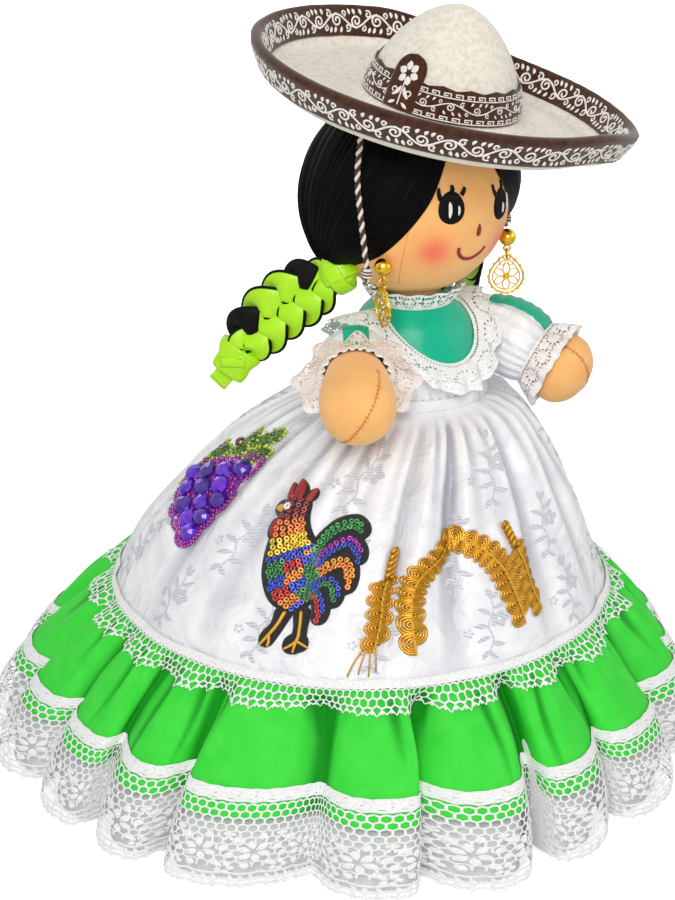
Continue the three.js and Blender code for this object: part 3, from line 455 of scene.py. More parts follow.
# Cotton lace: matt white thread with a slightly fuzzy surface
laceThread = clothMaterial(
    "whiteLaceThread", "#F5F5F4", 0.8, nap(0.3, 0.6, 0.25), (1.1, {"Detail": 3}),
    tones=(("#E3E3E3", 0.3), ("#FAFAF9", 0.65)), relief=(0.4, 0.3),
)

# Petticoat cotton: plain, dull white
plainCotton = clothMaterial("whiteCotton", "#EDEDEE", 0.85, nap(0.15), (18, {"Detail": 5}), relief=(0.3, 2))

# Pressed wool felt: cream, matt, with matted fibres and a few darker specks
creamFelt = clothMaterial(
    "creamFelt", "#EFE7D5", 0.92, nap(0.3, 0.7, 0.2), (3, {"Detail": 7, "Roughness": 0.7}),
    tones=(("#D9CDB4", 0.3), ("#F3EDDF", 0.56)), relief=(0.5, 0.6),
)

# Brushed suede: dark brown nap that shifts a little from place to place
brownSuede = clothMaterial(
    "brownSuede", "#47271B", 0.95, nap(0.35, 0.5, 0.15), (4, {"Detail": 6, "Roughness": 0.65}),
    tones=(("#301710", 0.32), ("#57331F", 0.7)), relief=(0.35, 0.4),
)

# Patch felt: black, matt, fibrous
blackFelt = clothMaterial(
    "blackFelt", "#0D0C0E", 0.95, nap(0.15, 0.7), (1.5, {"Detail": 5}), relief=(0.6, 0.5)
)


# Spun thread: a plied surface that breaks the light into short dashes
def threadMaterial(name, colour, shade, roughness, metallic=0.0, gloss=0.5):
    return clothMaterial(
        name, colour, roughness, {"Metallic": metallic, "Specular IOR Level": gloss}, (0.9, {"Detail": 2}),
        tones=((shade, 0), (colour, 1)), relief=(0.3, 0.3),
    )


whiteThread = threadMaterial("whiteEmbroideryThread", "#FAF6F0", "#E6DDD6", 0.6)
brownYarn = threadMaterial("brownCordYarn", "#4A2617", "#331708", 0.75)
creamYarn = threadMaterial("creamCordYarn", "#F4EBE2", "#D2C3B6", 0.75)
blackThread = threadMaterial("blackEmbroideryThread", "#080809", "#030303", 0.5, 0.0, 0.12)
redThread = threadMaterial("redEmbroideryThread", "#A8161A", "#7D0E10", 0.55)
seamThread = threadMaterial("russetSeamThread", "#D98B50", "#C4743C", 0.8, 0.0, 0.2)
limeThread = threadMaterial("oliveThread", "#8FA018", "#5E6C08", 0.5)
yellowThread = threadMaterial("yellowThread", "#F2B91E", "#C98A06", 0.45)
goldGimp = threadMaterial("goldLurexGimp", "#D9A233", "#9A6A12", 0.34, 0.75)

# Electroplated brass beads and filigree: bright yellow metal with faint handling marks
goldMetal, tree, shader = startMaterial("goldPlatedBrass", "#E9B93C", 0.16, {"Metallic": 1.0})
place = addNode(tree, "ShaderNodeTexCoord").outputs["Object"]
smears = {"Vector": place, "Scale": 1 / (2 * mm), "Detail": 4.0}
handled = addNode(tree, "ShaderNodeTexNoise", smears).outputs["Fac"]
worn = addNode(tree, "ShaderNodeMapRange", {"Value": handled, "To Min": 0.1, "To Max": 0.32})
tree.links.new(worn.outputs["Result"], shader.inputs["Roughness"])

# Sequins, seed beads and cupped foil: dyed plastic film over foil, each with its own tint, with painted
# glints and shade in small patches over it
filmLook = {"Metallic": 0.3, "Coat Weight": 0.6, "Coat Roughness": 0.08}
foil, tree, shader = startMaterial("dyedFoilSequin", "#6A1FB0", 0.18, filmLook)
tint = addNode(tree, "ShaderNodeAttribute", attribute_name="tint").outputs["Color"]
# Painted glints: a noise of about 2.5 mm lightens and darkens the tint
place = addNode(tree, "ShaderNodeTexCoord").outputs["Object"]
glintPatches = {"Vector": place, "Scale": 1 / (2.5 * mm), "Detail": 2.0}
glint = addNode(tree, "ShaderNodeTexNoise", glintPatches).outputs["Fac"]
glintRange = {"Value": glint, "From Min": 0.3, "From Max": 0.7, "To Min": 0.55, "To Max": 1.25}
shadeOf = addNode(tree, "ShaderNodeMapRange", glintRange).outputs["Result"]
tinted = {"Factor": 1.0, 6: tint, 7: shadeOf}
foilTone = addNode(tree, "ShaderNodeMix", tinted, data_type="RGBA", blend_type="MULTIPLY")
tree.links.new(foilTone.outputs[2], shader.inputs["Base Color"])

# Shoe leather: black, smooth, fine grain
shoeLeather, tree, shader = startMaterial("blackShoeLeather", "#1A1818", 0.4, {"Coat Weight": 0.2})
place = addNode(tree, "ShaderNodeTexCoord").outputs["Object"]
pores = addNode(tree, "ShaderNodeTexVoronoi", {"Vector": place, "Scale": 1 / (1.2 * mm)})
giveRelief(tree, shader, pores.outputs["Distance"], 0.2, 0.2)
print("materials: ready")

# Stuffed body: padded cotton, turned forms made a little uneven by the stuffing
body = {
    "headRadius": 49,
    "headAt": (26, -20, 291),
    "shoulder": (40, -2, 220),
    "torsoRows": [
        (15, 247), (15, 241), (19, 237), (27, 228), (33, 212), (36, 192), (39, 152), (35.1, 135),
        (24.2, 125), (0, 122)
    ],
    "legRows": [
        (0, 138.3), (8, 136.4), (13.4, 131), (15.5, 123), (14.9, 111), (13.6, 73.8), (11.5, 24), (11.3, 7),
        (0, 5.5)
    ],
    "armRows": {
        "right": [
            (0, -10.9), (6.5, -8.8), (10, -4.4), (11, 0), (12, 12), (14.4, 23), (17, 33), (18.6, 43),
            (18.9, 51), (17.7, 58), (13.4, 64.2), (7.2, 67.9), (0, 69)
        ],
        "left": [
            (0, -10.9), (6.5, -8.8), (10, -4.4), (11, 0), (11.4, 15), (13, 32), (16, 42), (18.6, 51),
            (18, 58.5), (13.4, 64.6), (7, 68), (0, 69)
        ],
    },
}


def softRows(rows, count):
    rows = np.asarray(rows, float)
    made = through(rows, count)
    made[:, 0] = np.maximum(made[:, 0], 0)
    made[0], made[-1] = rows[0], rows[-1]
    return made


torsoSoft = softRows(body["torsoRows"], 60)


def torsoRadius(height):
    return np.interp(height, torsoSoft[::-1, 1], torsoSoft[::-1, 0])


# Head: a ball of cotton, blushed on each cheek, with a seam down each side
headAt = np.array(body["headAt"], float)


def faceDirection(across, up):
    across, up = np.radians(across), np.radians(up)
    return np.stack([np.sin(across) * np.cos(up), -np.cos(across) * np.cos(up), np.sin(up)], -1)


def onHead(across, up, out=0.0):
    return headAt + faceDirection(across, up) * (body["headRadius"] + np.asarray(out, float)[..., None])


latitude = np.linspace(90, -90, 97)[:, None]
longitude = np.degrees(circle(160))[None, :]
headGrid = onHead(longitude + 0 * latitude, latitude + 0 * longitude)
headGrid = headGrid + unit(headGrid - headAt) * (0.25 * uneven(headGrid, 40, 3))[..., None]
head = meshPiece("head", headGrid, skinCloth, weld=True)
blush = {"right": (-26, -19), "left": (31, -22), "size": 12.5}
headPoints = np.array([v.co for v in head.data.vertices]) / mm - headAt
headDirections = unit(headPoints)
blushAmount = np.zeros(len(headPoints))
for cheek in ("right", "left"):
    apart = np.degrees(np.arccos(np.clip(headDirections @ faceDirection(*blush[cheek]), -1, 1)))
    blushAmount += 0.85 * np.exp(-((apart / blush["size"]) ** 2) * 1.4)
blushLayer = head.data.attributes.new("blush", "FLOAT", "POINT")
blushLayer.data.foreach_set("value", np.clip(blushAmount, 0, 1).astype(np.float32))
carry(head, "head_body", "skin_cloth", "head")

torsoGrid = turned(torsoSoft, 96) + dollAt
torso = softPiece("torso", "torso_body", "skin_cloth", torsoGrid, skinCloth, weld=True)

# Legs and shoes, hidden under the skirt
shoe = {"half": (14.2, 26.7, 24), "forward": 8.64, "apart": 17, "weltTop": 3.4, "ankle": 12, "mouth": 21.6}
for side, sign in sideNames.items():
    hip = dollAt + [sign * shoe["apart"], 0, 0]
    legGrid = turned(softRows(body["legRows"], 50), 48) + hip
    leg = softPiece(f"{side}_leg", f"{side}_leg_body", "skin_cloth", legGrid, skinCloth, weld=True)
    # A moulded shoe with a sole welt and an opening for the ankle
    shoeRows = []
    turn = circle(64)
    for height in np.concatenate([np.linspace(0.2, 3.2, 6), np.linspace(3.6, 20.6, 16)]):
        shrink = math.sqrt(max(1 - (height / shoe["half"][2]) ** 2, 0.02))
        welt = 0.35 if height < shoe["weltTop"] else -0.25
        across, deep = (half * shrink + welt for half in shoe["half"][:2])
        ring = np.stack([across * np.cos(turn), deep * np.sin(turn), 0 * turn + height], -1)
        shoeRows.append(ring + [0, -shoe["forward"], 0])
    ankle = ringPoints(shoe["ankle"], turn, shoe["mouth"])
    inside = ankle * [1, 1, 0] + [0, 0, 9]
    mouth = shoeRows[-1] * 0.45 + ankle * 0.55 + [0, 0, 0.8]
    soleRing = shoeRows[0] * [0.96, 0.96, 0] + [0, -shoe["forward"] * 0.04, 0.05]
    soleCentre = 0 * soleRing + [0, -shoe["forward"], 0.05]
    shoeGrid = np.array([inside, ankle, mouth] + shoeRows[::-1] + [soleRing, soleCentre]) + hip
    softPiece(f"{side}_shoe", f"{side}_leg_body", "shoe_leather", shoeGrid, shoeLeather, weld=True)
print("body: head, torso, legs and shoes")

# Arms: pods that swell towards the hand, with a gathered seam round the fingertips
armPose = {"right": (36, 15), "left": (30, 25)}  # degrees outwards and below level
armFrames = {}
for side, sign in sideNames.items():
    pivot = dollAt + beside(body["shoulder"], sign)
    outward, droop = np.radians(armPose[side])
    level = np.array([sign * math.sin(outward), -math.cos(outward), 0])
    along = level * math.cos(droop) - [0, 0, math.sin(droop)]
    axis = np.array([level[1], -level[0], 0])
    down = np.cross(along, axis)
    if down[2] > 0:
        axis, down = -axis, -down
    armFrames[side] = (pivot, along, axis, down)


# Points round an arm: angle 0 on top, heights along it
def roundArm(side, radius, angle, height):
    pivot, along, axis, down = armFrames[side]
    radius, angle, height = (np.asarray(a, float)[..., None] for a in (radius, angle, height))
    return pivot + along * height - down * radius * np.cos(angle) + axis * radius * np.sin(angle)


def armGrid(side, rows, sides):
    rows = np.asarray(rows, float)
    angle = circle(sides)
    _, along, axis, down = armFrames[side]
    if np.dot(np.cross(-down, axis), along) > 0:  # keeps the faces outwards on both sides
        angle = -angle
    return roundArm(side, rows[:, :1] + 0 * angle, angle + 0 * rows[:, :1], rows[:, 1:] + 0 * angle)


for side in sideNames:
    armSoft = softRows(body["armRows"][side], 64)
    grid = armGrid(side, armSoft, 64)
    pivot, along = armFrames[side][:2]
    lumps = 0.3 * uneven(grid, 26, 8)
    grid = grid + unit(grid - pivot - along * 50) * lumps[..., None]
    grid[0], grid[-1] = grid[0].mean(0), grid[-1].mean(0)
    arm = softPiece(f"{side}_arm", f"{side}_arm_body", "skin_cloth", grid, skinCloth, weld=True)
print("arms: stuffed and posed")

# Hair: floss combed from a middle parting, over each ear, into the braid's knot
hair = {
    "centre": (26, -19, 291),
    "radii": (57.3, 54.8, 55),
    "partFront": 50,
    "partBack": 186,
    "strandRows": 64,
    "strandCols": 260,
    "frontEdge": [(0, 50), (-15, 36.4), (-30.4, 9.9), (-54, -18), (-78, -32)],
    "ridge": 0.34,
    "braidRoot": (44, 5, 258),
}
hairAt, hairRadii = np.array(hair["centre"], float), np.array(hair["radii"], float)


def slerp(a, b, t):
    apart = np.arccos(np.clip(np.sum(a * b, -1), -1, 1))[..., None]
    return (np.sin((1 - t) * apart) * a + np.sin(t * apart) * b) / np.sin(apart)


braidRoots = {side: dollAt + beside(hair["braidRoot"], sign) for side, sign in sideNames.items()}
for side, sign in sideNames.items():
    rootWay = unit((braidRoots[side] - hairAt) / hairRadii)
    s = np.linspace(0, 1, hair["strandCols"])[None, :]
    t = np.linspace(0.004, 1, hair["strandRows"])[:, None]
    partAngle = np.radians(hair["partFront"] + (hair["partBack"] - hair["partFront"]) * s)
    startWay = np.stack([0 * s, -np.cos(partAngle), np.sin(partAngle)], -1)
    plain = slerp(startWay, rootWay, t[..., None])
    edgeWays = [faceDirection(-sign * across, up) for across, up in hair["frontEdge"]] + [rootWay]
    edge = unit(through(edgeWays, len(t)))
    pull = (edge - plain[:, 0])[:, None] * ((1 - s) ** 1.6)[..., None]
    way = unit(plain + pull)
    comb = 0.5 * np.sin(tau * (31 * s + 0.3 * t)) + 0.6 * np.sin(tau * (57 * s - 0.2 * t + 0.2))
    comb = comb + np.random.default_rng(11).normal(0, 0.6, s.shape)
    lift = smoothStep(0, 0.13, s) * smoothStep(1, 0.94, s)
    groove = 1 - 0.03 * np.exp(-((t / 0.03) ** 2))
    ridge = hair["ridge"] * comb * smoothStep(0, 0.1, t)
    outer = hairAt + way * hairRadii * groove[..., None] + way * ridge[..., None]
    inner = headAt + way * (body["headRadius"] + 0.5)
    grid = inner * (1 - lift[..., None]) + outer * lift[..., None]
    if sign < 0:
        grid = grid[:, ::-1]
    softPiece(f"{side}_hair", "head_body", "hair_floss", gridPart(grid, wrap=False), hairFloss)
print("hair: combed and parted")

# Braids: satin ribbons backed with black yarn, plaited flat. The third is bare yarn where it turns back.
braid = {
    "reach": (37, 46, -58),
    "turns": 2.3,
    "plaitWidth": (8.4, 8.4, 8.8),
    "plaitDepth": 3.4,
    "halfWidth": (7.4, 7.4, 6.6),
    "halfDepth": 2.0,
    "yarnEdge": 0.8,
    "bareFrom": 0.35,
    "steps": 130,
    "end": 0.8,
    "knotRadius": 9.6,
    "bendSteps": 62,
}
for side, sign in sideNames.items():
    root = braidRoots[side]
    end = beside(braid["reach"], sign)
    line = root + through(
        [(0, 0, 0), end * (0.36, 0.38, 0.24), end * (0.74, 0.76, 0.6), end], braid["steps"]
    )
    along = unit(np.gradient(line, axis=0))
    wide = unit(np.cross(along, [sign * 0.6, -0.72, 0.35]))
    deep = np.cross(wide, along)
    u = np.linspace(0, 1, braid["steps"])
    full = 0.82 + 0.26 * np.sin(math.pi * np.clip(1.15 * u, 0, 1))
    plaited = slice(3, int(braid["steps"] * (braid["end"] + 0.06)))
    drawnIn = 0.45 + 0.55 * smoothStep(braid["end"] + 0.03, braid["end"] - 0.09, u)
    drawnIn = drawnIn * (0.55 + 0.45 * smoothStep(0, 0.22, u))  # the knot holds the strands together
    for number in range(3):
        phase = tau * (braid["turns"] * u + number / 3)
        sway = braid["plaitWidth"][number] * full * drawnIn * np.sin(phase)
        path = line + wide * sway[:, None] + deep * (braid["plaitDepth"] * np.sin(2 * phase))[:, None]
        half = (braid["halfWidth"][number] * full * drawnIn)[plaited]
        strandParts = []
        for wider, thick, mark in ((0, 1.0, 0), (braid["yarnEdge"], 0.72, 1)):
            deepHalf = braid["halfDepth"] * thick
            grid = sweep(path[plaited], half + wider, deepHalf, sides=20, face=deep[plaited], square=0.8)
            if number == 2 and not mark:  # one mark for each face, row by row
                bare = -sign * sway[plaited] > braid["bareFrom"] * braid["plaitWidth"][2]
                mark = np.repeat(np.append(bare, bare[-1]), grid.shape[1])
            strandParts.append((*gridPart(grid), mark))
        slot = "black_ribbon" if number == 2 else "lime_ribbon"
        node = f"{side}_braid_strand_{number + 1}"
        strand = softPiece(node, None, slot, strandParts, [limeSatin, blackSatin], weld=True)
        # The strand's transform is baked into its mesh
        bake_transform(strand)
    # The ribbon is folded round the end, with its cut tab below
    share = np.linspace(0, 1, 16)
    wrapAt = braid["end"] + (1 - braid["end"]) * share
    middle, facing = valuesAt(wrapAt, u, line), valuesAt(wrapAt, u, deep)
    crease = 1 + 0.05 * np.sin(9 * share)
    halfWide, halfDeep = (11.6 - 2.8 * share) * crease, 5.2 - 1.4 * share
    tieParts = [sweep(middle, halfWide, halfDeep, sides=28, face=facing, square=0.75)]
    foldOver = middle[4:12] + facing[4:12] * 4.6 + wide[-1] * np.linspace(-5.5, 5.5, 8)[:, None]
    tieParts.append(sweep(foldOver, 2.6, 0.8, sides=12, face=facing[4:12]))
    run, lean = np.linspace(-2, 8, 6)[:, None], np.linspace(0, 1.5, 6)[:, None]
    cutEnd = middle[-1] + along[-1] * run + wide[-1] * lean
    tieParts.append(sweep(cutEnd, 5.2, 1.1, sides=16, face=deep[-1], square=0.5))
    softPiece(f"{side}_braid_tie", f"{side}_braid", "lime_ribbon", tieParts, limeSatin, weld=True)
    # Knot: the ribbon gathered into a ball where the braid starts, crossed by two of its own folds
    up = np.radians(np.linspace(90, -90, 29))[:, None]
    angle = circle(56)[None, :]
    radius = braid["knotRadius"] * (1 + 0.05 * np.cos(6 * angle + 3 * up) * np.cos(up))
    around = wide[1] * np.cos(angle)[..., None] - deep[1] * 0.82 * np.sin(angle)[..., None]
    knotUp, knotOut = (0.9 * radius * np.sin(up))[..., None], (radius * np.cos(up))[..., None]
    knotParts = [root - along[1] * knotUp + around * knotOut]
    loop = circle(44)[:, None]
    for first, second in ((along[1] * 0.92, deep[1] * 0.86), (wide[1] * 1.02, deep[1] * 0.86)):
        ring = root + (first * np.cos(loop) + second * np.sin(loop)) * (braid["knotRadius"] + 0.3)
        knotParts.append(sweep(ring, 4.3, 0.8, sides=12, face=unit(ring - root), closed=True, square=0.7))
    softPiece(f"{side}_braid_knot", "head_body", "lime_ribbon", knotParts, limeSatin, weld=True)
print("braids: plaited and tied")

# Earrings: a plated bead on the head, a jump ring and a filigree drop that swings
earring = {
    "beadRadius": 4.4,
    "beadAngle": 56,
    "beadHeight": 268,
    "twist": {"right": 40, "left": 0},
    "eyeDrop": 5.75,
    "ringDrop": 8.55,
    "plateDrop": 10.65,
    "plate": (2.3, 9.5, -19.7),
}
upright = np.array([0, 0, 1.0])


def ballGrid(centre, radius, rows=20, columns=32):
    up = np.linspace(math.pi / 2, -math.pi / 2, rows)[:, None]
    return centre + ringPoints(np.cos(up), circle(columns)[None, :], np.sin(up)) * radius


for side, sign in sideNames.items():
    turn = math.radians(earring["beadAngle"])
    out = np.array([sign * math.sin(turn), -math.cos(turn), 0])
    bead = headAt * [1, 1, 0] + out * body["headRadius"] + upright * earring["beadHeight"]
    c, s = heading(math.radians(earring["twist"][side]))
    plateOut = np.array([c * out[0] - s * out[1], s * out[0] + c * out[1], 0])
    forward = np.array([-plateOut[1], plateOut[0], 0])
    beadParts = [ballGrid(bead, earring["beadRadius"])]
    eyeAngle = circle(24)[:, None]
    eye = bead - upright * earring["eyeDrop"]
    eye = eye + (np.cos(eyeAngle) * plateOut + np.sin(eyeAngle) * upright) * 1.6
    beadParts.append(sweep(eye, 0.5, sides=8, closed=True))
    softPiece(f"{side}_earring_bead", "head_body", "gold_metal", beadParts, goldMetal, weld=True)
    ring = bead - upright * earring["ringDrop"]
    ring = ring + (np.cos(eyeAngle) * forward + np.sin(eyeAngle) * upright) * 2.5
    softPiece(
        f"{side}_earring_ring", "head_body", "gold_metal", sweep(ring, 0.5, sides=8, closed=True),
        goldMetal, weld=True
    )
    # Filigree drop: a wire outline, a rosette of loops, an inner frame and grains round the edge
    top, half, foot = earring["plate"]
    wideAt = foot + half
    bend = np.linspace(0, 1, 14, endpoint=False)[:, None]
    shoulder = [(0, top), (half * 0.24, top), (half, wideAt * 0.5), (half, wideAt)]
    belly = [(half, wideAt), (half, wideAt * 1.5), (half * 0.52, foot), (0, foot)]
    curves = np.array([shoulder, belly])
    curves = np.concatenate([curves, curves[::-1, ::-1] * [-1, 1]])
    a, b, c, d = curves.swapaxes(0, 1)[:, :, None]
    rim = (1 - bend) ** 3 * a + 3 * (1 - bend) ** 2 * bend * b + 3 * (1 - bend) * bend**2 * c + bend**3 * d
    rim = rim.reshape(-1, 2)
    middle = np.array([0, wideAt])

    def onPlate(flat):
        flat = np.asarray(flat, float)
        return bead - upright * earring["plateDrop"] + flat[:, :1] * plateOut + flat[:, 1:2] * upright

    wires = [(rim * 0.93 + middle * 0.07, 0.55), ((rim - middle) * 0.74 + middle, 0.36)]
    loop = circle(22)
    around = np.stack([np.cos(loop), np.sin(loop)], -1)
    for petal in range(6):
        c, s = heading((petal + 0.5) * tau / 6)
        oval = around * [2.9, 1.7] + [3.9, 0]
        wires.append((oval @ np.array([[c, s], [-s, c]]) + middle, 0.36))
    wires.append((around * 1.5 + middle, 0.45))
    wires.append((around * 1.6, 0.34))
    for lean in (-1, 1):
        wires.append(((around * [1.5, 2] + [2.2, 8]) * [lean, 1] + [0, wideAt], 0.32))
    pendantParts = [sweep(onPlate(path), thick, sides=6, closed=True) for path, thick in wires]
    for grain in rim[3:-3:3]:
        pendantParts.append(ballGrid(onPlate([grain * 0.96 + middle * 0.04])[0], 0.75, 6, 8))
    pendantParts.append(ballGrid(onPlate([middle])[0], 1.0, 8, 10))
    softPiece(
        f"{side}_earring_pendant", f"{side}_pendant", "gold_metal", pendantParts, goldMetal, weld=True
    )
print("earrings: beads, rings and filigree drops")

# Flat motifs: x along the cloth, y down it, z out of it. A ribbon has a raised middle.
def ribbon(path, width, height=0.4, step=None):
    path = np.asarray(path, float)
    if step:
        length = pathLength(path)
        at = np.linspace(0, length[-1], max(2, int(round(length[-1] / step)) + 1))
        path = valuesAt(at, length, path)
    count = len(path)
    way = unit(np.gradient(path, axis=0) + 1e-9)
    left = np.stack([-way[:, 1], way[:, 0]], -1)
    if np.ndim(width):
        width = np.interp(np.linspace(0, 1, count), np.linspace(0, 1, len(width)), width)
    half = np.broadcast_to(np.asarray(width, float) / 2, count)[:, None]
    low = np.zeros((count, 1))
    high = np.broadcast_to(np.asarray(height, float), count)[:, None]
    lanes = ((path + left * half, low), (path, high), (path - left * half, low))
    return gridPart(np.stack([np.concatenate(lane, 1) for lane in lanes], 1), wrap=False)


def leaf(start, end, width, height=0.5, bow=0.0, count=6):
    start, end = np.asarray(start, float), np.asarray(end, float)
    t = np.linspace(0, 1, count)[:, None]
    across = np.array([-(end - start)[1], (end - start)[0]])
    path = start + (end - start) * t + across * bow * np.sin(math.pi * t)
    full = np.sin(math.pi * np.clip(t[:, 0], 0.02, 0.98)) ** 0.7
    return ribbon(path, width * full, height * np.sin(math.pi * np.clip(t[:, 0], 0.1, 0.9)))


def spiral(centre, radius, turns, start, hand=1, count=14, tight=0.25):
    t = np.linspace(0, 1, count)
    angle = math.radians(start) + hand * tau * turns * t
    reach = radius * (1 - (1 - tight) * t)
    return np.stack([centre[0] + reach * np.cos(angle), centre[1] + reach * np.sin(angle)], -1)


# Geometry Nodes trees: named inputs and one output, run on a piece as a modifier
def startTree(name, inputs):
    tree = bpy.data.node_groups.new(name, "GeometryNodeTree")
    sockets = {}
    for socketName, kind in inputs.items():
        socket = tree.interface.new_socket(name=socketName, in_out="INPUT", socket_type=f"NodeSocket{kind}")
        sockets[socketName] = socket.identifier
    tree.interface.new_socket(name="Made", in_out="OUTPUT", socket_type="NodeSocketGeometry")
    return tree, sockets, addNode(tree, "NodeGroupInput").outputs


def runTree(piece, tree, sockets, values):
    modifier = piece.modifiers.new(tree.name, "NODES")
    modifier.node_group = tree
    for socketName, value in values.items():
        modifier[sockets[socketName]] = value
    return settle(piece)


# Rows of a flat motif, wrapped onto a cloth through its UV map
layNumbers = ("Pitch", "Start U", "Start V", "U per metre", "V per metre", "Lift")
layInputs = {"Motif": "Geometry", "Cloth": "Object", "Count": "Int", "Material": "Material"}
layTree, laySockets, source = startTree("layOnCloth", {**layInputs, **dict.fromkeys(layNumbers, "Float")})
pitchStep = addNode(layTree, "ShaderNodeCombineXYZ", {"X": source["Pitch"]}).outputs[0]
rowLine = addNode(layTree, "GeometryNodeMeshLine", {"Count": source["Count"], "Offset": pitchStep})
copied = {"Points": rowLine.outputs[0], "Instance": source["Motif"]}
copies = addNode(layTree, "GeometryNodeInstanceOnPoints", copied).outputs[0]
real = addNode(layTree, "GeometryNodeRealizeInstances", {"Geometry": copies}).outputs[0]
position = addNode(layTree, "GeometryNodeInputPosition").outputs[0]
flatPlace = addNode(layTree, "ShaderNodeSeparateXYZ", {0: position}).outputs
gone = {}
for axis, way in (("X", "U"), ("Y", "V")):
    run = {0: flatPlace[axis], 1: source[f"{way} per metre"], 2: source[f"Start {way}"]}
    gone[way] = addNode(layTree, "ShaderNodeMath", run, operation="MULTIPLY_ADD").outputs[0]
wrapU = addNode(layTree, "ShaderNodeMath", {0: gone["U"]}, operation="FRACT").outputs[0]
keepV = addNode(layTree, "ShaderNodeClamp", {"Value": gone["V"], "Min": 0.001, "Max": 0.999}).outputs[0]
uvPoint = addNode(layTree, "ShaderNodeCombineXYZ", {"X": wrapU, "Y": keepV}).outputs[0]
clothMesh = addNode(layTree, "GeometryNodeObjectInfo", {"Object": source["Cloth"]}).outputs["Geometry"]
uvMap = addNode(layTree, "GeometryNodeInputNamedAttribute", {"Name": "UVMap"}, data_type="FLOAT_VECTOR")
clothUv = uvMap.outputs["Attribute"]
onCloth = []
for value in (position, addNode(layTree, "GeometryNodeInputNormal").outputs[0]):
    sample = {0: clothMesh, "Value": value, 2: clothUv, "Sample UV": uvPoint}
    found = addNode(layTree, "GeometryNodeSampleUVSurface", sample, data_type="FLOAT_VECTOR")
    onCloth.append(found.outputs[0])
standOff = addNode(layTree, "ShaderNodeMath", {0: flatPlace["Z"], 1: source["Lift"]}, operation="ADD")
scaled = {0: onCloth[1], "Scale": standOff.outputs[0]}
away = addNode(layTree, "ShaderNodeVectorMath", scaled, operation="SCALE").outputs[0]
laid = addNode(layTree, "ShaderNodeVectorMath", {0: onCloth[0], 1: away}, operation="ADD").outputs[0]
moved = addNode(layTree, "GeometryNodeSetPosition", {"Geometry": real, "Position": laid}).outputs[0]
clad = addNode(layTree, "GeometryNodeSetMaterial", {"Geometry": moved, "Material": source["Material"]})
addNode(layTree, "NodeGroupOutput", {0: clad.outputs[0]})


# uSize and vSize are the cloth's length and depth in millimetres over its whole UV map
def layOn(
    name, parts, cloth, material, uSize, vSize, count=1, pitch=1.0, startU=0.0, startV=0.0, lift=0.15
):
    motif = meshPiece(name, parts, material)
    lengths = {"Pitch": pitch * mm, "Lift": lift * mm}
    shares = {
        "Start U": startU, "Start V": startV, "U per metre": 1 / (uSize * mm),
        "V per metre": 1 / (vSize * mm)
    }
    values = {"Cloth": cloth, "Count": count, "Material": material, **lengths, **shares}
    return runTree(motif, layTree, laySockets, values)


def discard(piece):
    bpy.data.objects.remove(piece, do_unlink=True)


def merge(name, pieces):
    shape = bmesh.new()
    slots = []
    for piece in pieces:
        material = piece.data.materials[0]
        if material not in slots:
            slots.append(material)
        for polygon in piece.data.polygons:
            polygon.material_index = slots.index(material)
        shape.from_mesh(piece.data)
    mesh = bpy.data.meshes.new(name)
    shape.to_mesh(mesh)
    shape.free()
    for material in slots:
        mesh.materials.append(material)
    for piece in pieces:
        discard(piece)
    return newObject(name, mesh)


print("trees: motifs can be laid on cloth")

# Sombrero: pressed felt with a turned-up rim, suede bands and white embroidery
hat = {
    "at": (35, -30, 337),
    "pitch": 9.8,
    "roll": 6.7,
    "crownRadius": 39,
    "crownHeight": 52,
    "crownPower": 1.72,
    "rimRadius": 95,
    "rimRise": 19,
    "rimSlope": (0.469, 0.883),
    "bandWrap": 15,
    "sides": 160,
    "droop": 12,
    "droopAt": -5,
}
pitchCos, pitchSin = heading(math.radians(hat["pitch"]))
rollCos, rollSin = heading(math.radians(hat["roll"]))
pitched = np.array([[1, 0, 0], [0, pitchCos, -pitchSin], [0, pitchSin, pitchCos]])
hatTurn = pitched @ np.array([[rollCos, 0, rollSin], [0, 1, 0], [-rollSin, 0, rollCos]])


# The soft brim hangs lower over the doll's left shoulder
def inHat(grid):
    grid = np.array(grid, float)
    bearing = np.arctan2(grid[..., 1], grid[..., 0]) - math.radians(hat["droopAt"])
    onBrim = smoothStep(46, hat["rimRadius"], np.hypot(grid[..., 0], grid[..., 1]))
    grid[..., 2] -= hat["droop"] * onBrim * smoothStep(0.2, 1, np.cos(bearing))
    return grid @ hatTurn.T + np.array(hat["at"], float)


def crownRow(share, out=0.0):
    share = np.asarray(share, float)
    power = hat["crownPower"]
    radius = hat["crownRadius"] * (1 - share**power) ** (1 / power)
    return np.stack([radius + out, hat["crownHeight"] * share], -1)


def rimAt(down, out):
    down, out = np.asarray(down, float), np.asarray(out, float)
    inward, rise = hat["rimSlope"]
    radius = hat["rimRadius"] - inward * down + rise * out
    return np.stack([radius, hat["rimRise"] - rise * down - inward * out], -1)


def rounded(rows, spacing, passes):
    rows = np.asarray(rows, float)
    length = pathLength(rows)
    made = valuesAt(np.linspace(0, length[-1], int(length[-1] / spacing) + 2), length, rows)
    for _ in range(passes):
        made[1:-1] = 0.5 * made[1:-1] + 0.25 * (made[:-2] + made[2:])
    return made


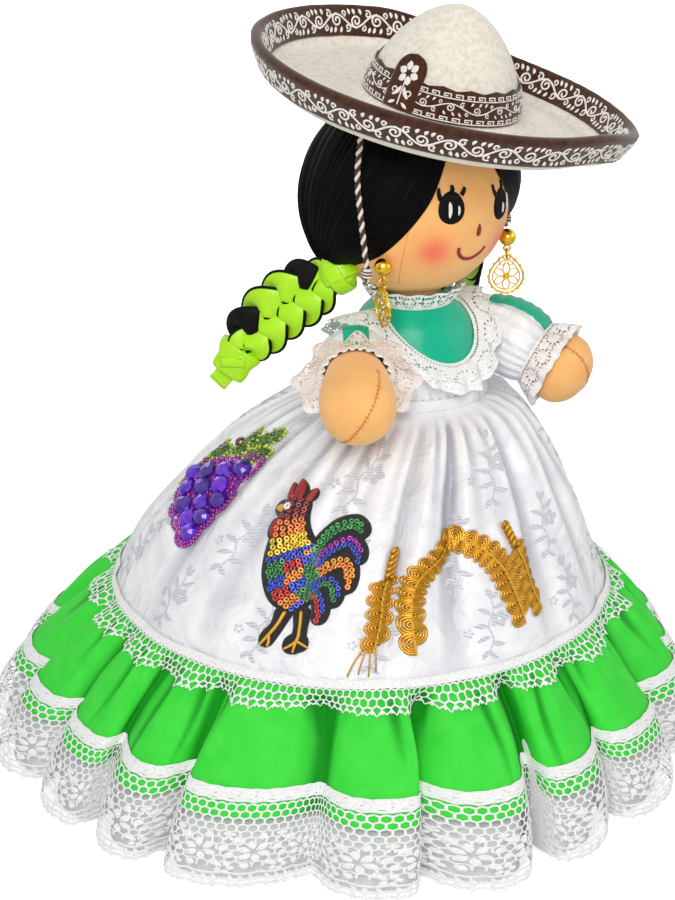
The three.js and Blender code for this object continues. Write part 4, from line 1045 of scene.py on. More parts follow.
crownShares = np.sin(np.linspace(math.pi / 2, 0.06, 44))
brimTop = [(40.5, 0.6), (44, 0), (82.5, 1.5), (87.49, 4.87), (95, 19)]
brimUnder = [(97.1, 17.9), (89.6, 3.75), (83.7, -0.9), (44, -2.4), (37.6, -2.2)]
topSide = rounded([*crownRow(crownShares), *brimTop], 1.8, 3)
underSide = rounded([*brimUnder, *(crownRow(crownShares[::-1][1:]) * [0.94, 0.968])], 2.4, 2)
topSide[0] = (0, hat["crownHeight"])
underSide[-1] = (0, hat["crownHeight"] - 2.4)
feltGrid = turned(np.concatenate([topSide, underSide]), hat["sides"])
feltGrid = feltGrid + (unit(feltGrid + [0, 0, 60]) * (0.35 * uneven(feltGrid, 55, 5))[..., None])
feltGrid[0], feltGrid[-1] = feltGrid[0].mean(0), feltGrid[-1].mean(0)
softPiece("sombrero", "hat", "cream_felt", inHat(feltGrid), creamFelt, weld=True)

# Suede folded over the rim: down the inner face, over a rounded edge, down the outer face
wrapRows = [
    rimAt(hat["bandWrap"], -0.35),
    rimAt(hat["bandWrap"], -1.2),
    *rimAt(np.linspace(14, 1, 9), -1.4),
    rimAt(-0.9, -0.9),
    rimAt(-1.4, 0.6),
    rimAt(-1.4, 1.8),
    rimAt(-0.9, 3.3),
    *rimAt(np.linspace(1, 14, 9), 3.8),
    rimAt(hat["bandWrap"], 3.6),
    rimAt(hat["bandWrap"], 2.75),
]
wrapGrid = turned(wrapRows, hat["sides"])
wrapGrid = wrapGrid + unit(wrapGrid) * (0.25 * uneven(wrapGrid, 9, 14))[..., None]
softPiece("brim_band", "hat", "brown_suede", inHat(wrapGrid), brownSuede)

# Scroll vine: an S-curve with curls to each side, leaves and small tendrils
vine = {"repeats": 23, "thread": 1.1, "depth": 13.0, "radius": 96.5, "from": 0.4, "to": 14.2}
vinePitch = tau * vine["radius"] / vine["repeats"]


def vineTile(pitch, depth, thread):
    middle = depth / 2
    x = np.linspace(0, pitch, 26)
    wave = np.stack([x, middle + 0.26 * depth * np.sin(tau * x / pitch)], -1)
    parts = [ribbon(wave, thread, 0.45)]
    for at, hand in ((0.25, -1), (0.75, 1)):
        for along, up, radius, turns, start, way, count, tight, thin in (
            (-0.02, 0.02, 0.27, 1.35, 90 * hand + 180, hand, 20, 0.2, 1.0),
            (0.2, 0.27, 0.17, 1.1, -50 * hand, -hand, 14, 0.25, 0.9),
            (-0.2, 0.3, 0.13, 1.0, 90 * hand, hand, 12, 0.3, 0.85),
        ):
            centre = ((at + along) * pitch, middle - hand * up * depth)
            parts.append(
                ribbon(spiral(centre, radius * depth, turns, start, way, count, tight), thread * thin, 0.45)
            )
        for lean in (-0.13, 0.03, 0.15):
            foot = ((at + lean) * pitch, middle + hand * 0.24 * depth)
            tip = ((at + lean + 0.05) * pitch, middle + hand * 0.47 * depth)
            parts.append(leaf(foot, tip, thread * 1.7, 0.5, 0.12 * hand))
    return parts


vineParts = vineTile(vinePitch, vine["depth"], vine["thread"])
rimLength, faceDepth = vinePitch * vine["repeats"], vine["to"] - vine["from"]
faceRows = np.linspace(vine["from"], vine["to"], 12)
vinePieces = []
for name, rows, out, startU in (
    ("outerVine", faceRows, 3.85, 0.0), ("innerVine", faceRows[::-1], -1.45, 0.02)
):
    rimFace = meshPiece("rimFace", inHat(turned(rimAt(rows, out), 180)), brownSuede)
    repeat = (rimLength, faceDepth, vine["repeats"], vinePitch, startU, 0.03, 0.1)
    vinePieces.append(layOn(name, vineParts, rimFace, whiteThread, *repeat))
    discard(rimFace)
brimEmbroidery = merge("brim_embroidery", vinePieces)
carry(brimEmbroidery, "hat", "brown_suede")

# Crown band with a pointed upper edge, key borders and a vine between them
bandShares = np.linspace(0.375, 0.075, 12)
bandGrid = inHat(turned(crownRow(bandShares, 1.35), 240))
pointed = 0.9 * np.abs(((circle(240) * 16 / tau) % 1) * 2 - 1)
for row, fade in ((0, 1.0), (1, 0.6)):
    bandGrid[row] += (hatTurn @ np.array([0, 0, 1]))[None] * ((pointed - 0.3) * 1.6 * fade)[:, None]
crownBand = meshPiece("crown_band", bandGrid, brownSuede)
thicken(crownBand, 1.0)
carry(crownBand, "hat", "brown_suede", "crown_band")
bandRows = crownRow(np.linspace(0.36, 0.08, 14), 1.4)
bandCloth = meshPiece("bandCloth", inHat(turned(bandRows, 240)), brownSuede)
band = {"length": tau * 37.5, "depth": 15.2, "keys": 40, "keyHeight": 2.5, "vines": 9, "vineDepth": 7.4}


# One Greek key: a square hook that turns back on itself
def keyTile(pitch, tall, thread):
    flat = np.array([(0, 1), (0.78, 1), (0.78, 0.18), (0.22, 0.18), (0.22, 0.62), (0.5, 0.62)])
    hook = flat * [pitch, tall]
    parts = []
    for first, last in zip(hook[:-1], hook[1:]):
        over = np.sign(last - first) * 0.5 * thread
        parts.append(ribbon([first - over, last + over], thread, 0.35))
    parts.append(ribbon([(0.78 * pitch, tall), (pitch, tall)], thread, 0.35))
    return parts


keys = keyTile(band["length"] / band["keys"], band["keyHeight"], 0.55)
bandVine = vineTile(band["length"] / band["vines"], band["vineDepth"], 0.6)
bandPieces = []
for name, tile, count, startU, startV in (
    ("upperKey", keys, band["keys"], 0, 0.04),
    ("lowerKey", keys, band["keys"], 0, 0.78),
    ("bandVine", bandVine, band["vines"], 0.01, 0.25),
):
    repeat = (band["length"], band["depth"], count, band["length"] / count, startU, startV, 0.12)
    bandPieces.append(layOn(name, tile, bandCloth, whiteThread, *repeat))
bandEmbroidery = merge("band_embroidery", bandPieces)
carry(bandEmbroidery, "hat", "brown_suede")
discard(bandCloth)

# Tab: a rounded strip over the band with a six-petal flower
tab = {"width": 17, "height": 26, "foot": 4.7, "angle": 74}
across = np.linspace(-1, 1, 21)
tabRows = []
for up in np.linspace(1, 0, 24):
    rise = tab["foot"] + tab["height"] * up
    spare = tab["height"] * (1 - up)
    half = tab["width"] / 2
    reach = half if spare > half else math.sqrt(max(half**2 - (half - spare) ** 2, 0.02))
    share = min(rise / hat["crownHeight"], 0.75)
    radius = crownRow(share, 2.75)[0]
    bearing = math.radians(-90 - tab["angle"]) + across * reach / radius
    tabRows.append(ringPoints(radius, bearing, rise))
tabGrid = inHat(np.array(tabRows))
tabPiece = meshPiece("band_tab", gridPart(tabGrid, wrap=False), brownSuede)
flower = []
x = tab["width"] / 2
for petal in range(6):
    way = heading(math.radians(60 * petal + 12))
    flower.append(leaf(way * 1.4 + [x, 9], way * 5.6 + [x, 9], 3.4, 0.5))
for sway in (-1, 1):
    flower.append(leaf((x + sway * 1.0, 15.2), (x + sway * 4.6, 20.0), 2.0, 0.4, 0.15 * sway))
    flower.append(ribbon(spiral((x + sway * 4.2, 18.0), 2.2, 1.0, 90, sway, 12, 0.3), 0.7, 0.35))
    flower.append(leaf((x + sway * 1.8, 22.6), (x + sway * 5.4, 24.6), 1.6, 0.35))
flower.append(ribbon([(x, 13.0), (x, 24.0)], 0.7, 0.35, 1.5))
tabFlower = layOn("tab_embroidery", flower, tabPiece, whiteThread, tab["width"], tab["height"])
thicken(tabPiece, 1.0)
carry(tabPiece, "hat", "brown_suede", "band_tab")
carry(tabFlower, "hat", "brown_suede")

# Sweatband: a cloth ring inside the mouth of the crown
sweatRows = [
    (27.6, 2.4), (34.5, 2.0), (35.0, 4), (33.0, 8), (29.8, 13.0), (27.2, 13.0), (27.0, 8), (27.6, 2.4)
]
softPiece(
    "sweatband", "hat", "lining", inHat(turned(rounded(sweatRows[::-1], 1.0, 1), 96)), plainCotton,
    weld=True
)
print("hat: felt, suede and embroidery")

# Chin cords: two yarns twisted together, hanging from the brim to a knot
chinCord = {
    "radius": 1.5,
    "lay": 6.2,
    "top": {"right": (-27, -46, 339.1), "left": (89, -18, 329.8)},
    "end": 270.9,
    "knot": 268.0,
}
for side, sign in sideNames.items():
    x, y, high = chinCord["top"][side]
    low = chinCord["end"]
    points = [
        (x, y, high),
        (x + sign * 1.5, y + 1.5, low + (high - low) * 0.66),
        (x + sign, y - 1, low + (high - low) * 0.33),
        (x, y - 4, low),
    ]
    line = through(points, 110)
    length = pathLength(line)
    along = unit(np.gradient(line, axis=0))
    acrossCord = unit(np.cross(along, [0.0, 1.0, 0.0]))
    deepCord = np.cross(along, acrossCord)
    plies = []
    for number in range(2):
        turn = tau * length / chinCord["lay"] + number * math.pi
        ply = line + (acrossCord * np.cos(turn)[:, None] + deepCord * np.sin(turn)[:, None]) * 0.72
        plies.append((*gridPart(sweep(ply, 0.86, sides=8)), number))
    cordPiece = softPiece(f"{side}_chin_cord", "hat", "cord", plies, [brownYarn, creamYarn], weld=True)
    # Knot: the two yarns tied round themselves, with short cut ends
    knotAt = np.array([x, y - 4, chinCord["knot"]])
    knotParts = []
    wind = np.linspace(0, tau * 2.5, 60)
    for number in range(2):
        coil = knotAt + ringPoints(1.75, wind + number * math.pi, 1.9 - 3.8 * wind / wind[-1])
        knotParts.append((*gridPart(sweep(coil, 0.85, sides=8)), number))
        sway = number - 0.5
        fray = knotAt + through([(0, 0, -1.5), (0.8 * sway, 0, -3.0), (1.8 * sway, -0.6, -4.4)], 8)
        knotParts.append((*gridPart(sweep(fray, np.linspace(0.8, 0.5, 8), sides=7)), number))
    knotParts.append((*gridPart(ballGrid(knotAt, 1.6, 8, 12)), 0))
    knotPiece = softPiece(f"{side}_cord_knot", "hat", "cord", knotParts, [brownYarn, creamYarn], weld=True)
print("cords: twisted and knotted")

# Dress cloth. Angles run round the doll from above, t runs down each piece.
dress = {
    "skirtTop": 188.7,
    "seamHeight": 84,
    "flounceTop": 83.7,
    "waistRadius": 39.7,
    "seamRadius": 131,
    "seamAt": (3, -9),
    "hemRadius": 183,
    "bell": 0.6,
    "skirtCols": 480,
    "skirtRows": 76,
    "flounceCols": 720,
    "flounceRows": 56,
    "flounceEnd": 0.606,
    "laceStart": 0.45,
    "laceEnd": 0.988,
    "stiffAt": (-198, -149, -88),
    "folds": 16,
    "foldDepth": 5.2,
    "gathers": 40,
    "gatherDepth": 3.2,
    "lobes": 20,
    "petticoatGap": 9.2,
}


# How far the skirt's middle has moved from the doll to the seam, most of it near the waist
def seamShare(fall):
    fall = np.clip(fall, 0, 1)
    return fall * (1.9 - 0.9 * fall)


# The bell's mean radius and the place of its middle
def bellRadius(fall):
    return dress["waistRadius"] + (dress["seamRadius"] - dress["waistRadius"]) * fall ** dress["bell"]


def bellMiddle(share):
    return [dollAt[k] + (dress["seamAt"][k] - dollAt[k]) * share for k in (0, 1)]


def drift(angle, amounts):
    return sum(size * np.sin(wave * angle + start) for size, wave, start in amounts)


foldDrift = [(0.055, 3, 0.6), (0.04, 7, 2.1), (0.02, 11, 4.0)]
puffDrift = [(0.05, 2, 1.0), (0.04, 5, 2.6), (0.022, 9, 0.4)]


# Skirt folds: wide crests with narrow valleys, and small gathers that fade below the waist
def skirtWaves(angle, t):
    phase = dress["folds"] * (angle + drift(angle, foldDrift))
    fold = np.cos(phase - 0.6 * np.sin(phase))
    foldSize = np.sin(math.pi * (0.85 * t + 0.12)) * smoothStep(0, 0.05, t)
    foldSize = foldSize * (0.8 + 0.45 * np.sin(3 * angle - 0.05))
    for stiff in dress["stiffAt"]:  # the cloth lies flatter behind a patch
        foldSize = foldSize * (1 - 0.5 * np.exp((np.cos(angle - math.radians(stiff)) - 1) / 0.05))
    gather = np.cos(dress["gathers"] * angle + 2.2 * np.sin(3 * angle))
    gatherSize = np.exp(-np.maximum(t, 0) / 0.3) * smoothStep(0, 0.06, t)
    gatherSize = gatherSize * (0.75 + 0.35 * np.sin(7 * angle + 2))
    return fold, foldSize, gather, gatherSize


def skirtPlace(angle, t, out=0.0):
    angle, t = np.broadcast_arrays(np.asarray(angle, float), np.asarray(t, float))
    fall = np.maximum(t, 0)
    fold, foldSize, gather, gatherSize = skirtWaves(angle, t)
    broad = dress["foldDepth"] * fold * foldSize
    gather = dress["gatherDepth"] * gather * gatherSize
    soft = 1.3 * np.sin(9 * angle + 5 * t) + 0.9 * np.sin(23 * angle - 9 * t)
    radius = bellRadius(fall) + broad + gather + soft * np.sin(math.pi * fall) ** 2 + out
    # The top edge turns up inside the waistband
    radius = radius - 0.9 * smoothStep(0.06, 0.0, t) + 40 * np.minimum(t, 0)
    x, y = bellMiddle(seamShare(t))
    z = dress["skirtTop"] + (dress["seamHeight"] - dress["skirtTop"]) * t
    return np.stack([x + radius * np.cos(angle), y + radius * np.sin(angle), z], -1)


# Flounce: big flat lobes, and sharp tucks that run down from the gathered seam; the last value gives the
# painted shade of each tuck its own length
def flounceWaves(angle):
    phase = dress["lobes"] * (angle + drift(angle, puffDrift))
    lobe = np.cos(phase) - 0.17 * np.cos(2 * phase)
    tuckPhase = 2 * phase + 2.5 * np.sin(4 * angle)
    tuckWave = sum(np.sin(step * tuckPhase) / step for step in (1, 2, 3)) / 1.45
    return phase, lobe, tuckWave, 2.6 + 1.1 * np.sin(5 * angle + 1) + 0.5 * np.sin(9 * angle)


def flouncePlace(angle, t, out=0.0):
    angle, t = np.broadcast_arrays(np.asarray(angle, float), np.asarray(t, float))
    phase, lobe, tuckWave, _ = flounceWaves(angle)
    size = 0.9 + 0.2 * np.sin(3 * angle + 0.7) + 0.18 * np.sin(7 * angle + 2)
    deep = (4.4 + 9.2 * t**0.65) * size * smoothStep(-0.03, 0.12, t)
    tuck = 3.0 * tuckWave * np.exp(-(((t - 0.18) / 0.19) ** 2)) * smoothStep(0, 0.1, t)
    gather = 1.3 * np.exp(-t / 0.1) * np.cos(112 * angle + 3 * np.sin(8 * angle)) * smoothStep(0.0, 0.03, t)
    flare = (dress["hemRadius"] - dress["seamRadius"]) * np.sin(math.pi * t / 2)
    radius = dress["seamRadius"] - 0.4 + flare + deep * lobe + tuck + gather - t + out
    # Wide lobes with narrow valleys, each leaning over one of its neighbours
    slide = 0.66 * np.sin(phase) / dress["lobes"] + 0.045 * np.sin(6 * angle + 1.2) * lobe
    slide = slide * smoothStep(-0.1, 0.35, t) * size
    x, y, z = (start * (1 - t) for start in (*dress["seamAt"], dress["flounceTop"]))
    return np.stack([x + radius * np.cos(angle + slide), y + radius * np.sin(angle + slide), z], -1)


def cols(count):
    return circle(count)[None, :]


skirtT = np.concatenate([[-0.02], np.linspace(0, 1.0, dress["skirtRows"])])[:, None]
skirt = meshPiece("skirt", skirtPlace(cols(dress["skirtCols"]), skirtT), brocade)
flounceT = np.linspace(0.0, dress["flounceEnd"], dress["flounceRows"])[:, None]
flounce = meshPiece("flounce", flouncePlace(cols(dress["flounceCols"]), flounceT), greenCloth)


# Attribute "crease": painted shade, 1 at the bottom of a fold, where the cloth only sees itself; the
# material darkens its colour there
def paintCreaseShade(piece, crease):
    layer = piece.data.attributes.new("crease", "FLOAT", "POINT")
    layer.data.foreach_set("value", np.clip(crease, 0, 1).astype(np.float32).ravel())


# Painted shade on the flounce: dark green along the lobe valleys and down the tucks
_, lobe, tuckWave, tuckShadeReach = flounceWaves(cols(dress["flounceCols"]))
valleyShade = 0.35 * smoothStep(0.1, -1, lobe) + 0.6 * smoothStep(-0.6, -1.1, lobe)
tuckShade = 0.85 * smoothStep(0.05, -0.7, tuckWave + tuckShadeReach * flounceT)
paintCreaseShade(flounce, (valleyShade + tuckShade) * smoothStep(0, 0.08, flounceT))
# Painted shade on the skirt: grey in its fold valleys and between its gathers
fold, foldSize, gather, gatherSize = skirtWaves(cols(dress["skirtCols"]), skirtT)
paintCreaseShade(skirt, smoothStep(0.1, -1, fold) * foldSize + smoothStep(0.2, -1, gather) * gatherSize)

# Petticoat: plain cotton that stands on the floor inside the skirt
angle, t = cols(480), np.linspace(0, 1, 60)[:, None]
petticoatTop = dress["skirtTop"] - 8
height = petticoatTop * (1 - t) + 0.6
fall = np.maximum((dress["skirtTop"] - height) / (dress["skirtTop"] - dress["seamHeight"]), 0)
bellOut = bellRadius(np.minimum(fall, 1))
spread = np.minimum(np.maximum(fall - 1, 0) * 46, 30)
hold = np.minimum(t * 9, 1)
full = bellOut + spread - dress["petticoatGap"]
ruffle = 2.2 * smoothStep(0.5, 1, t) * np.cos(34 * angle + 2 * np.sin(5 * angle)) - 1.6
reach = (torsoRadius(petticoatTop) + 1.8) * (1 - hold) + (full + ruffle * hold) * hold
petticoatGrid = ringPoints(reach, angle, height)
petticoatGrid[..., :2] += np.stack(bellMiddle(seamShare(fall) * hold), -1)
# Below the seam it fills out the folds of the flounce
inFolds = flouncePlace(angle, np.clip(1 - height / dress["seamHeight"], 0, 1), -8.5)
share = (smoothStep(dress["seamHeight"], 48, height) + 0 * angle)[..., None]
petticoatGrid[..., :2] = (petticoatGrid * (1 - share) + inFolds * share)[..., :2]
petticoat = softPiece("petticoat", "torso_body", "white_cotton", petticoatGrid, plainCotton)
print("dress: skirt, flounce and petticoat")


# Net of six-sided cells, in a strip: three bars for each cell
def netParts(pitch, cells, rows, top, bar):
    rowDrop = pitch * 0.87
    parts = []
    for row in range(rows):
        for cell in range(cells):
            x = (cell + 0.5 * (row % 2)) * pitch
            y = top + row * rowDrop
            peak = (x + pitch / 2, y - rowDrop * 0.28)
            for ends in ([(x, y), peak], [peak, (x + pitch, y)], [(x, y), (x, y + rowDrop * 0.72)]):
                parts.append(ribbon(ends, bar, 0.35))
    return parts


# Hem lace tile: a wavy woven heading, a net of cells, rosettes worked over it and a scalloped edge
hemLace = {"repeats": 32, "depth": 49.5, "cells": 10, "bar": 0.8, "edge": 8.5, "radius": 180}
hemLace["flowers"] = (0.25, 0.75)
hemTurn = tau * hemLace["radius"]
hemPitch = hemTurn / hemLace["repeats"]


def rosette(middle, petals, far, wide, start=0.0):
    parts = []
    for petal in range(petals):
        way = heading(tau * petal / petals + start)
        parts.append(leaf(middle + way * 0.22 * far, middle + way * far, wide, 0.55))
    return parts


def hemTile(pitch, depth):
    parts = []
    x = np.linspace(0, pitch, 13)
    for lane, (y, wide) in enumerate(((0.9, 1.6), (2.5, 1.8), (4.1, 1.6), (5.5, 1.2))):
        wavy = y + 0.35 * np.sin(tau * x / pitch * 5 + lane)
        parts.append(ribbon(np.stack([x, wavy], -1), wide, 0.4))
    rows = int((depth - hemLace["edge"] - 7.5) / (pitch / hemLace["cells"] * 0.87))
    middles = [np.array([pitch * share, 29.5]) for share in hemLace["flowers"]]
    for bar in netParts(pitch / hemLace["cells"], hemLace["cells"], rows, 7.6, hemLace["bar"]):
        if min(np.linalg.norm(bar[0][:, :2].mean(0) - middle) for middle in middles) > 4.6:
            parts.append(bar)
    # Two flowers in each repeat, open between their petals, with leaves round them and buds in the half drop
    for middle in middles:
        parts += rosette(middle, 6, 5.8, 2.9, 0.3)
        for swing in circle(6) + 0.82:
            way = heading(swing)
            parts.append(leaf(middle + way * 6.2, middle + way * 9.6, 3.0, 0.4))
    for share in (0.0, 0.5):
        parts += rosette(np.array([pitch * share, 38.0]), 5, 3.6, 2.3)
        parts += rosette(np.array([pitch * share, 22.0]), 4, 2.6, 1.7, 0.8)
    # Edge: close rows that follow the scallops, an eyelet in each and picots below
    edge = depth - 4.6
    span = pitch / 3
    bend = np.linspace(0, math.pi, 9)
    for scallop in range(3):
        for lane, wide in ((-3.4, 1.2), (0.2, 1.5), (3.0, 1.7)):
            x = span * (scallop + 0.5 - np.cos(bend) / 2)
            arc = np.stack([x, edge - 1.6 + lane + 1.5 * np.sin(bend)], -1)
            parts.append(ribbon(arc, wide, 0.4))
        for bud in (0.22, 0.5, 0.78):
            at = np.array([span * (scallop + bud), edge + 3.2 + 0.6 * math.sin(math.pi * bud)])
            parts.append(leaf(at - [0, 0.8], at + [0, 1.1], 1.6, 0.3, 0, 4))
            parts.append(leaf(at - [0.7, 6.6], at - [-0.7, 3.6], 1.5, 0.35, 0, 4))
            parts.append(leaf(at - [-0.5, 3.9], at - [0.5, 1.4], 1.2, 0.35, 0, 4))
    return parts


laceT = np.linspace(dress["laceStart"], dress["laceEnd"], 40)[:, None]
hemCloth = meshPiece("hemCloth", flouncePlace(cols(960), laceT, 0.8), laceThread)
hemRepeat = (hemTurn, hemLace["depth"], hemLace["repeats"], hemPitch)
hemPiece = layOn(
    "hem_lace", hemTile(hemPitch, hemLace["depth"]), hemCloth, laceThread, *hemRepeat, lift=0.1
)
discard(hemCloth)
carry(hemPiece, "torso_body", "white_lace", "hem_lace")

# Seam lace over the join of skirt and flounce: a dense tape, cells, and a zigzag of picots
seamLace = {"repeats": 60, "cells": 4, "depth": 15.0, "radius": 136, "above": 4.4, "height": 13.4}
seamTurn = tau * seamLace["radius"]
seamPitch = seamTurn / seamLace["repeats"]


def seamPlace(angle, t):
    height = seamLace["above"] - seamLace["height"] * t
    upper = skirtPlace(angle, 1 - np.maximum(height, 0) / (dress["skirtTop"] - dress["seamHeight"]), 1.0)
    lower = flouncePlace(angle, np.maximum(-height, 0) / dress["flounceTop"], 1.4)
    share = smoothStep(1.5, -1.5, height)[..., None]
    made = upper * (1 - share) + lower * share
    made[..., 2] = dress["seamHeight"] + height
    return made


def seamTile(pitch):
    x = np.linspace(0, pitch, 5)
    parts = []
    for lane, wide in ((0.8, 1.5), (2.2, 1.5), (3.6, 1.5)):
        parts.append(ribbon(np.stack([x, 0 * x + lane], -1), wide, 0.4))
    parts += netParts(pitch / seamLace["cells"], seamLace["cells"], 3, 5.4, 0.75)
    step = pitch / seamLace["cells"]
    for cell in range(seamLace["cells"]):
        left = cell * step
        low = 13.6 if cell % 2 else 14.8
        parts.append(ribbon([(left, 12.4), (left + step / 2, low), (left + step, 12.4)], 0.8, 0.3))
    return parts


seamT = np.linspace(0, 1, 22)[:, None]
seamCloth = meshPiece("seamCloth", seamPlace(cols(720), seamT + 0 * cols(720)), laceThread)
seamRepeat = (seamTurn, seamLace["depth"], seamLace["repeats"], seamPitch)
seamPiece = layOn("seam_lace", seamTile(seamPitch), seamCloth, laceThread, *seamRepeat, lift=0.2)
discard(seamCloth)
carry(seamPiece, "torso_body", "white_lace", "seam_lace")
carry(flounce, "torso_body", "green_cloth", "flounce")
print("laces: hem and seam")

# Jacquard sprays: a rose, buds and leaves on a curved stem, in a half-drop repeat
spray = {"rows": (0.2, 0.5, 0.8), "counts": (7, 11, 13), "room": 44}
spray["leaves"] = [
    ((2, 10), (9, 13), 3.2), ((2, 7), (-6, 9), 3.0), ((1, 1), (-7, -1), 3.2), ((3, -6), (-4, -11), 3.0),
    ((5, -10), (12, -14), 3.0), ((4, -16), (2, -22), 3.6), ((4, -16), (8, -21), 2.6),
    ((0, 15), (-4, 20), 3.0), ((0, 15), (4, 21), 2.6),
]


def sprayParts(size):
    parts = []
    stem = through([(0, 16), (3, 8), (1, 0), (5, -9), (4, -17)], 14) * size
    parts.append(ribbon(stem, 0.8 * size, 0.1))
    rose = np.array([7.5, -3.0]) * size
    for ring, (petals, far, wide) in enumerate(((5, 5.6, 4.0), (4, 3.4, 2.6))):
        for petal in range(petals):
            way = heading(tau * petal / petals + ring * 0.5) * size
            parts.append(leaf(rose + way * 1.0, rose + way * far, wide * size, 0.12 + 0.06 * ring))
    for start, end, wide in spray["leaves"]:
        parts.append(leaf(np.array(start) * size, np.array(end) * size, wide * size, 0.14, 0.1, 7))
    bud = np.array([-9.5, 3.0]) * size
    for petal in range(5):
        way = heading(tau * petal / 5) * size
        parts.append(leaf(bud + way * 0.9, bud + way * 2.9, 1.7 * size, 0.12))
    return parts


sprayPieces = []
for number, (rowT, count) in enumerate(zip(spray["rows"], spray["counts"])):
    turnLength = tau * bellRadius(rowT)
    small = min(1.0, turnLength / count / spray["room"])
    repeat = (turnLength, 150, count, turnLength / count, 0.03 + 0.04 * number, 0.013 + 0.987 * rowT, 0.16)
    sprayPieces.append(layOn(f"spray{number}", sprayParts(small), skirt, sprayFloat, *repeat))
sprays = merge("skirt_sprays", sprayPieces)
carry(sprays, "torso_body", "white_brocade")
carry(skirt, "torso_body", "white_brocade", "skirt")
print("jacquard: sprays woven in")

# Bodice: satin yoke, white lower part with small gathers, and the waistband
bodice = {"yokeTop": 243.5, "join": 210, "low": 189}


def torsoShell(low, high, out, rows, sides, gathers=0.0, count=40):
    angle = cols(sides)
    height = np.linspace(high, low, rows)[:, None]
    fold = gathers * np.cos(count * angle + 2 * np.sin(3 * angle)) * smoothStep(high, low, height)
    return ringPoints(torsoRadius(height) + out + fold, angle, height) + dollAt


softPiece(
    "yoke", "torso_body", "teal_satin", torsoShell(209.6, bodice["yokeTop"], 1.5, 40, 160, 0.25, 9),
    tealSatin
)
softPiece(
    "bodice", "torso_body", "white_brocade",
    torsoShell(bodice["low"], bodice["join"] + 0.6, 1.6, 30, 280, 0.6, 46), brocade
)
bandRows = []
for height, out in ((195.2, 1.7), (195.4, 2.6), (194.4, 3.1), (190.0, 3.2), (189.0, 2.8), (188.9, 1.9)):
    bandRows.append((float(torsoRadius(height)) + out, height))
softPiece(
    "waistband", "torso_body", "white_brocade", turned(rounded(bandRows, 0.7, 2), 160) + dollAt, brocade
)


# Lace cloth: a fine grid with its eyelets cut out and its flowers raised
def laceCloth(name, place, around, depth, pattern, columns, rows):
    u, v = np.meshgrid(np.arange(columns) / columns, np.linspace(0, 1, rows + 1))
    height, _ = pattern(u * around, v * depth)
    points, quads, uvs = gridPart(place(u, v, height))
    middle = uvs.mean(1)
    _, hole = pattern(middle[:, 0] * around, middle[:, 1] * depth)
    return meshPiece(name, (points, quads[~hole], uvs[~hole]), laceThread)


# Flowers of six petals every pitch, eyelets round them, a row of slits along the sewn edge
def flowerLace(pitch, middle, depth, size):
    def pattern(x, y):
        cell = np.round(x / pitch)
        dx, dy = x - cell * pitch, y - middle
        far = np.hypot(dx, dy)
        way = np.arctan2(dy, dx)
        petals = size * (0.62 + 0.38 * np.cos(6 * way))
        height = 0.75 * smoothStep(petals + 0.7, petals - 0.7, far)
        height = height + 0.35 * np.exp(-(((far - size * 1.5) / 0.6) ** 2))
        height = height + 0.4 * smoothStep(depth - 3.4, depth - 2.4, y)
        ring = np.abs(far - size * 1.22) < 0.55
        hole = ring & (np.cos(12 * way) > 0.1)
        fx, fy = x - (np.floor(x / pitch) + 0.5) * pitch, y - (middle + 1.0)
        cross = np.abs(fx) + np.abs(fy) < size * 0.62
        hole = hole | (cross & ((np.abs(fx) > 0.45) & (np.abs(fy) > 0.45)))
        slit = (np.abs(y - 2.2) < 0.6) & ((x / 1.7) % 1 < 0.55)
        edgeEye = (np.abs(y - (depth - 4.4)) < 0.5) & ((x / 2.1) % 1 < 0.45)
        return height, hole | slit | edgeEye

    return pattern


collar = {
    "around": 248.0, "depth": 26.0, "folds": 18, "sewn": (224, 12), "edge": (216.5, 17.5), "reach": 45
}


def collarPlace(u, v, height):
    angle = u * tau
    # Both edges dip at front and back and rise over the shoulders
    sewnAt, edgeHeight = (
        level + rise * np.cos(2 * angle) for level, rise in (collar["sewn"], collar["edge"])
    )
    inner = torsoRadius(sewnAt) + 1.95
    bow = np.sin(math.pi * v) * 2.2
    scallop = 0.8 * np.abs(np.cos(20 * angle)) * smoothStep(0.8, 1, v)
    wave = (1.7 * np.cos(collar["folds"] * angle + 1.2 * np.sin(4 * angle)) + 0.8 * np.cos(31 * angle)) * v
    radius = inner + (collar["reach"] - inner) * v**0.9 + wave + bow + height * 0.8
    z = sewnAt + (edgeHeight - sewnAt) * v - scallop + height * 0.5
    return ringPoints(radius, angle, z) + dollAt


collarFlowers = flowerLace(15.5, 12.5, collar["depth"], 4.6)
collarFrill = laceCloth(
    "collar_frill", collarPlace, collar["around"], collar["depth"], collarFlowers, 440, 44
)
carry(collarFrill, "torso_body", "white_lace", "collar_frill")


neck = {
    "around": 150.0, "depth": 10.0, "radius": 20.6, "flare": 5.6, "low": 237.4, "rise": 9.6, "folds": 16
}


def neckPlace(u, v, height):
    angle = u * tau
    radius = neck["radius"] + (neck["flare"] + np.cos(neck["folds"] * angle)) * (1 - v) + height * 0.6
    return ringPoints(radius, angle, neck["low"] + neck["rise"] * (1 - v)) + dollAt


neckLace = laceCloth(
    "neck_lace", neckPlace, neck["around"], neck["depth"], flowerLace(9.4, 5.0, neck["depth"], 2.4), 320, 20
)
carry(neckLace, "torso_body", "white_lace", "neck_lace")

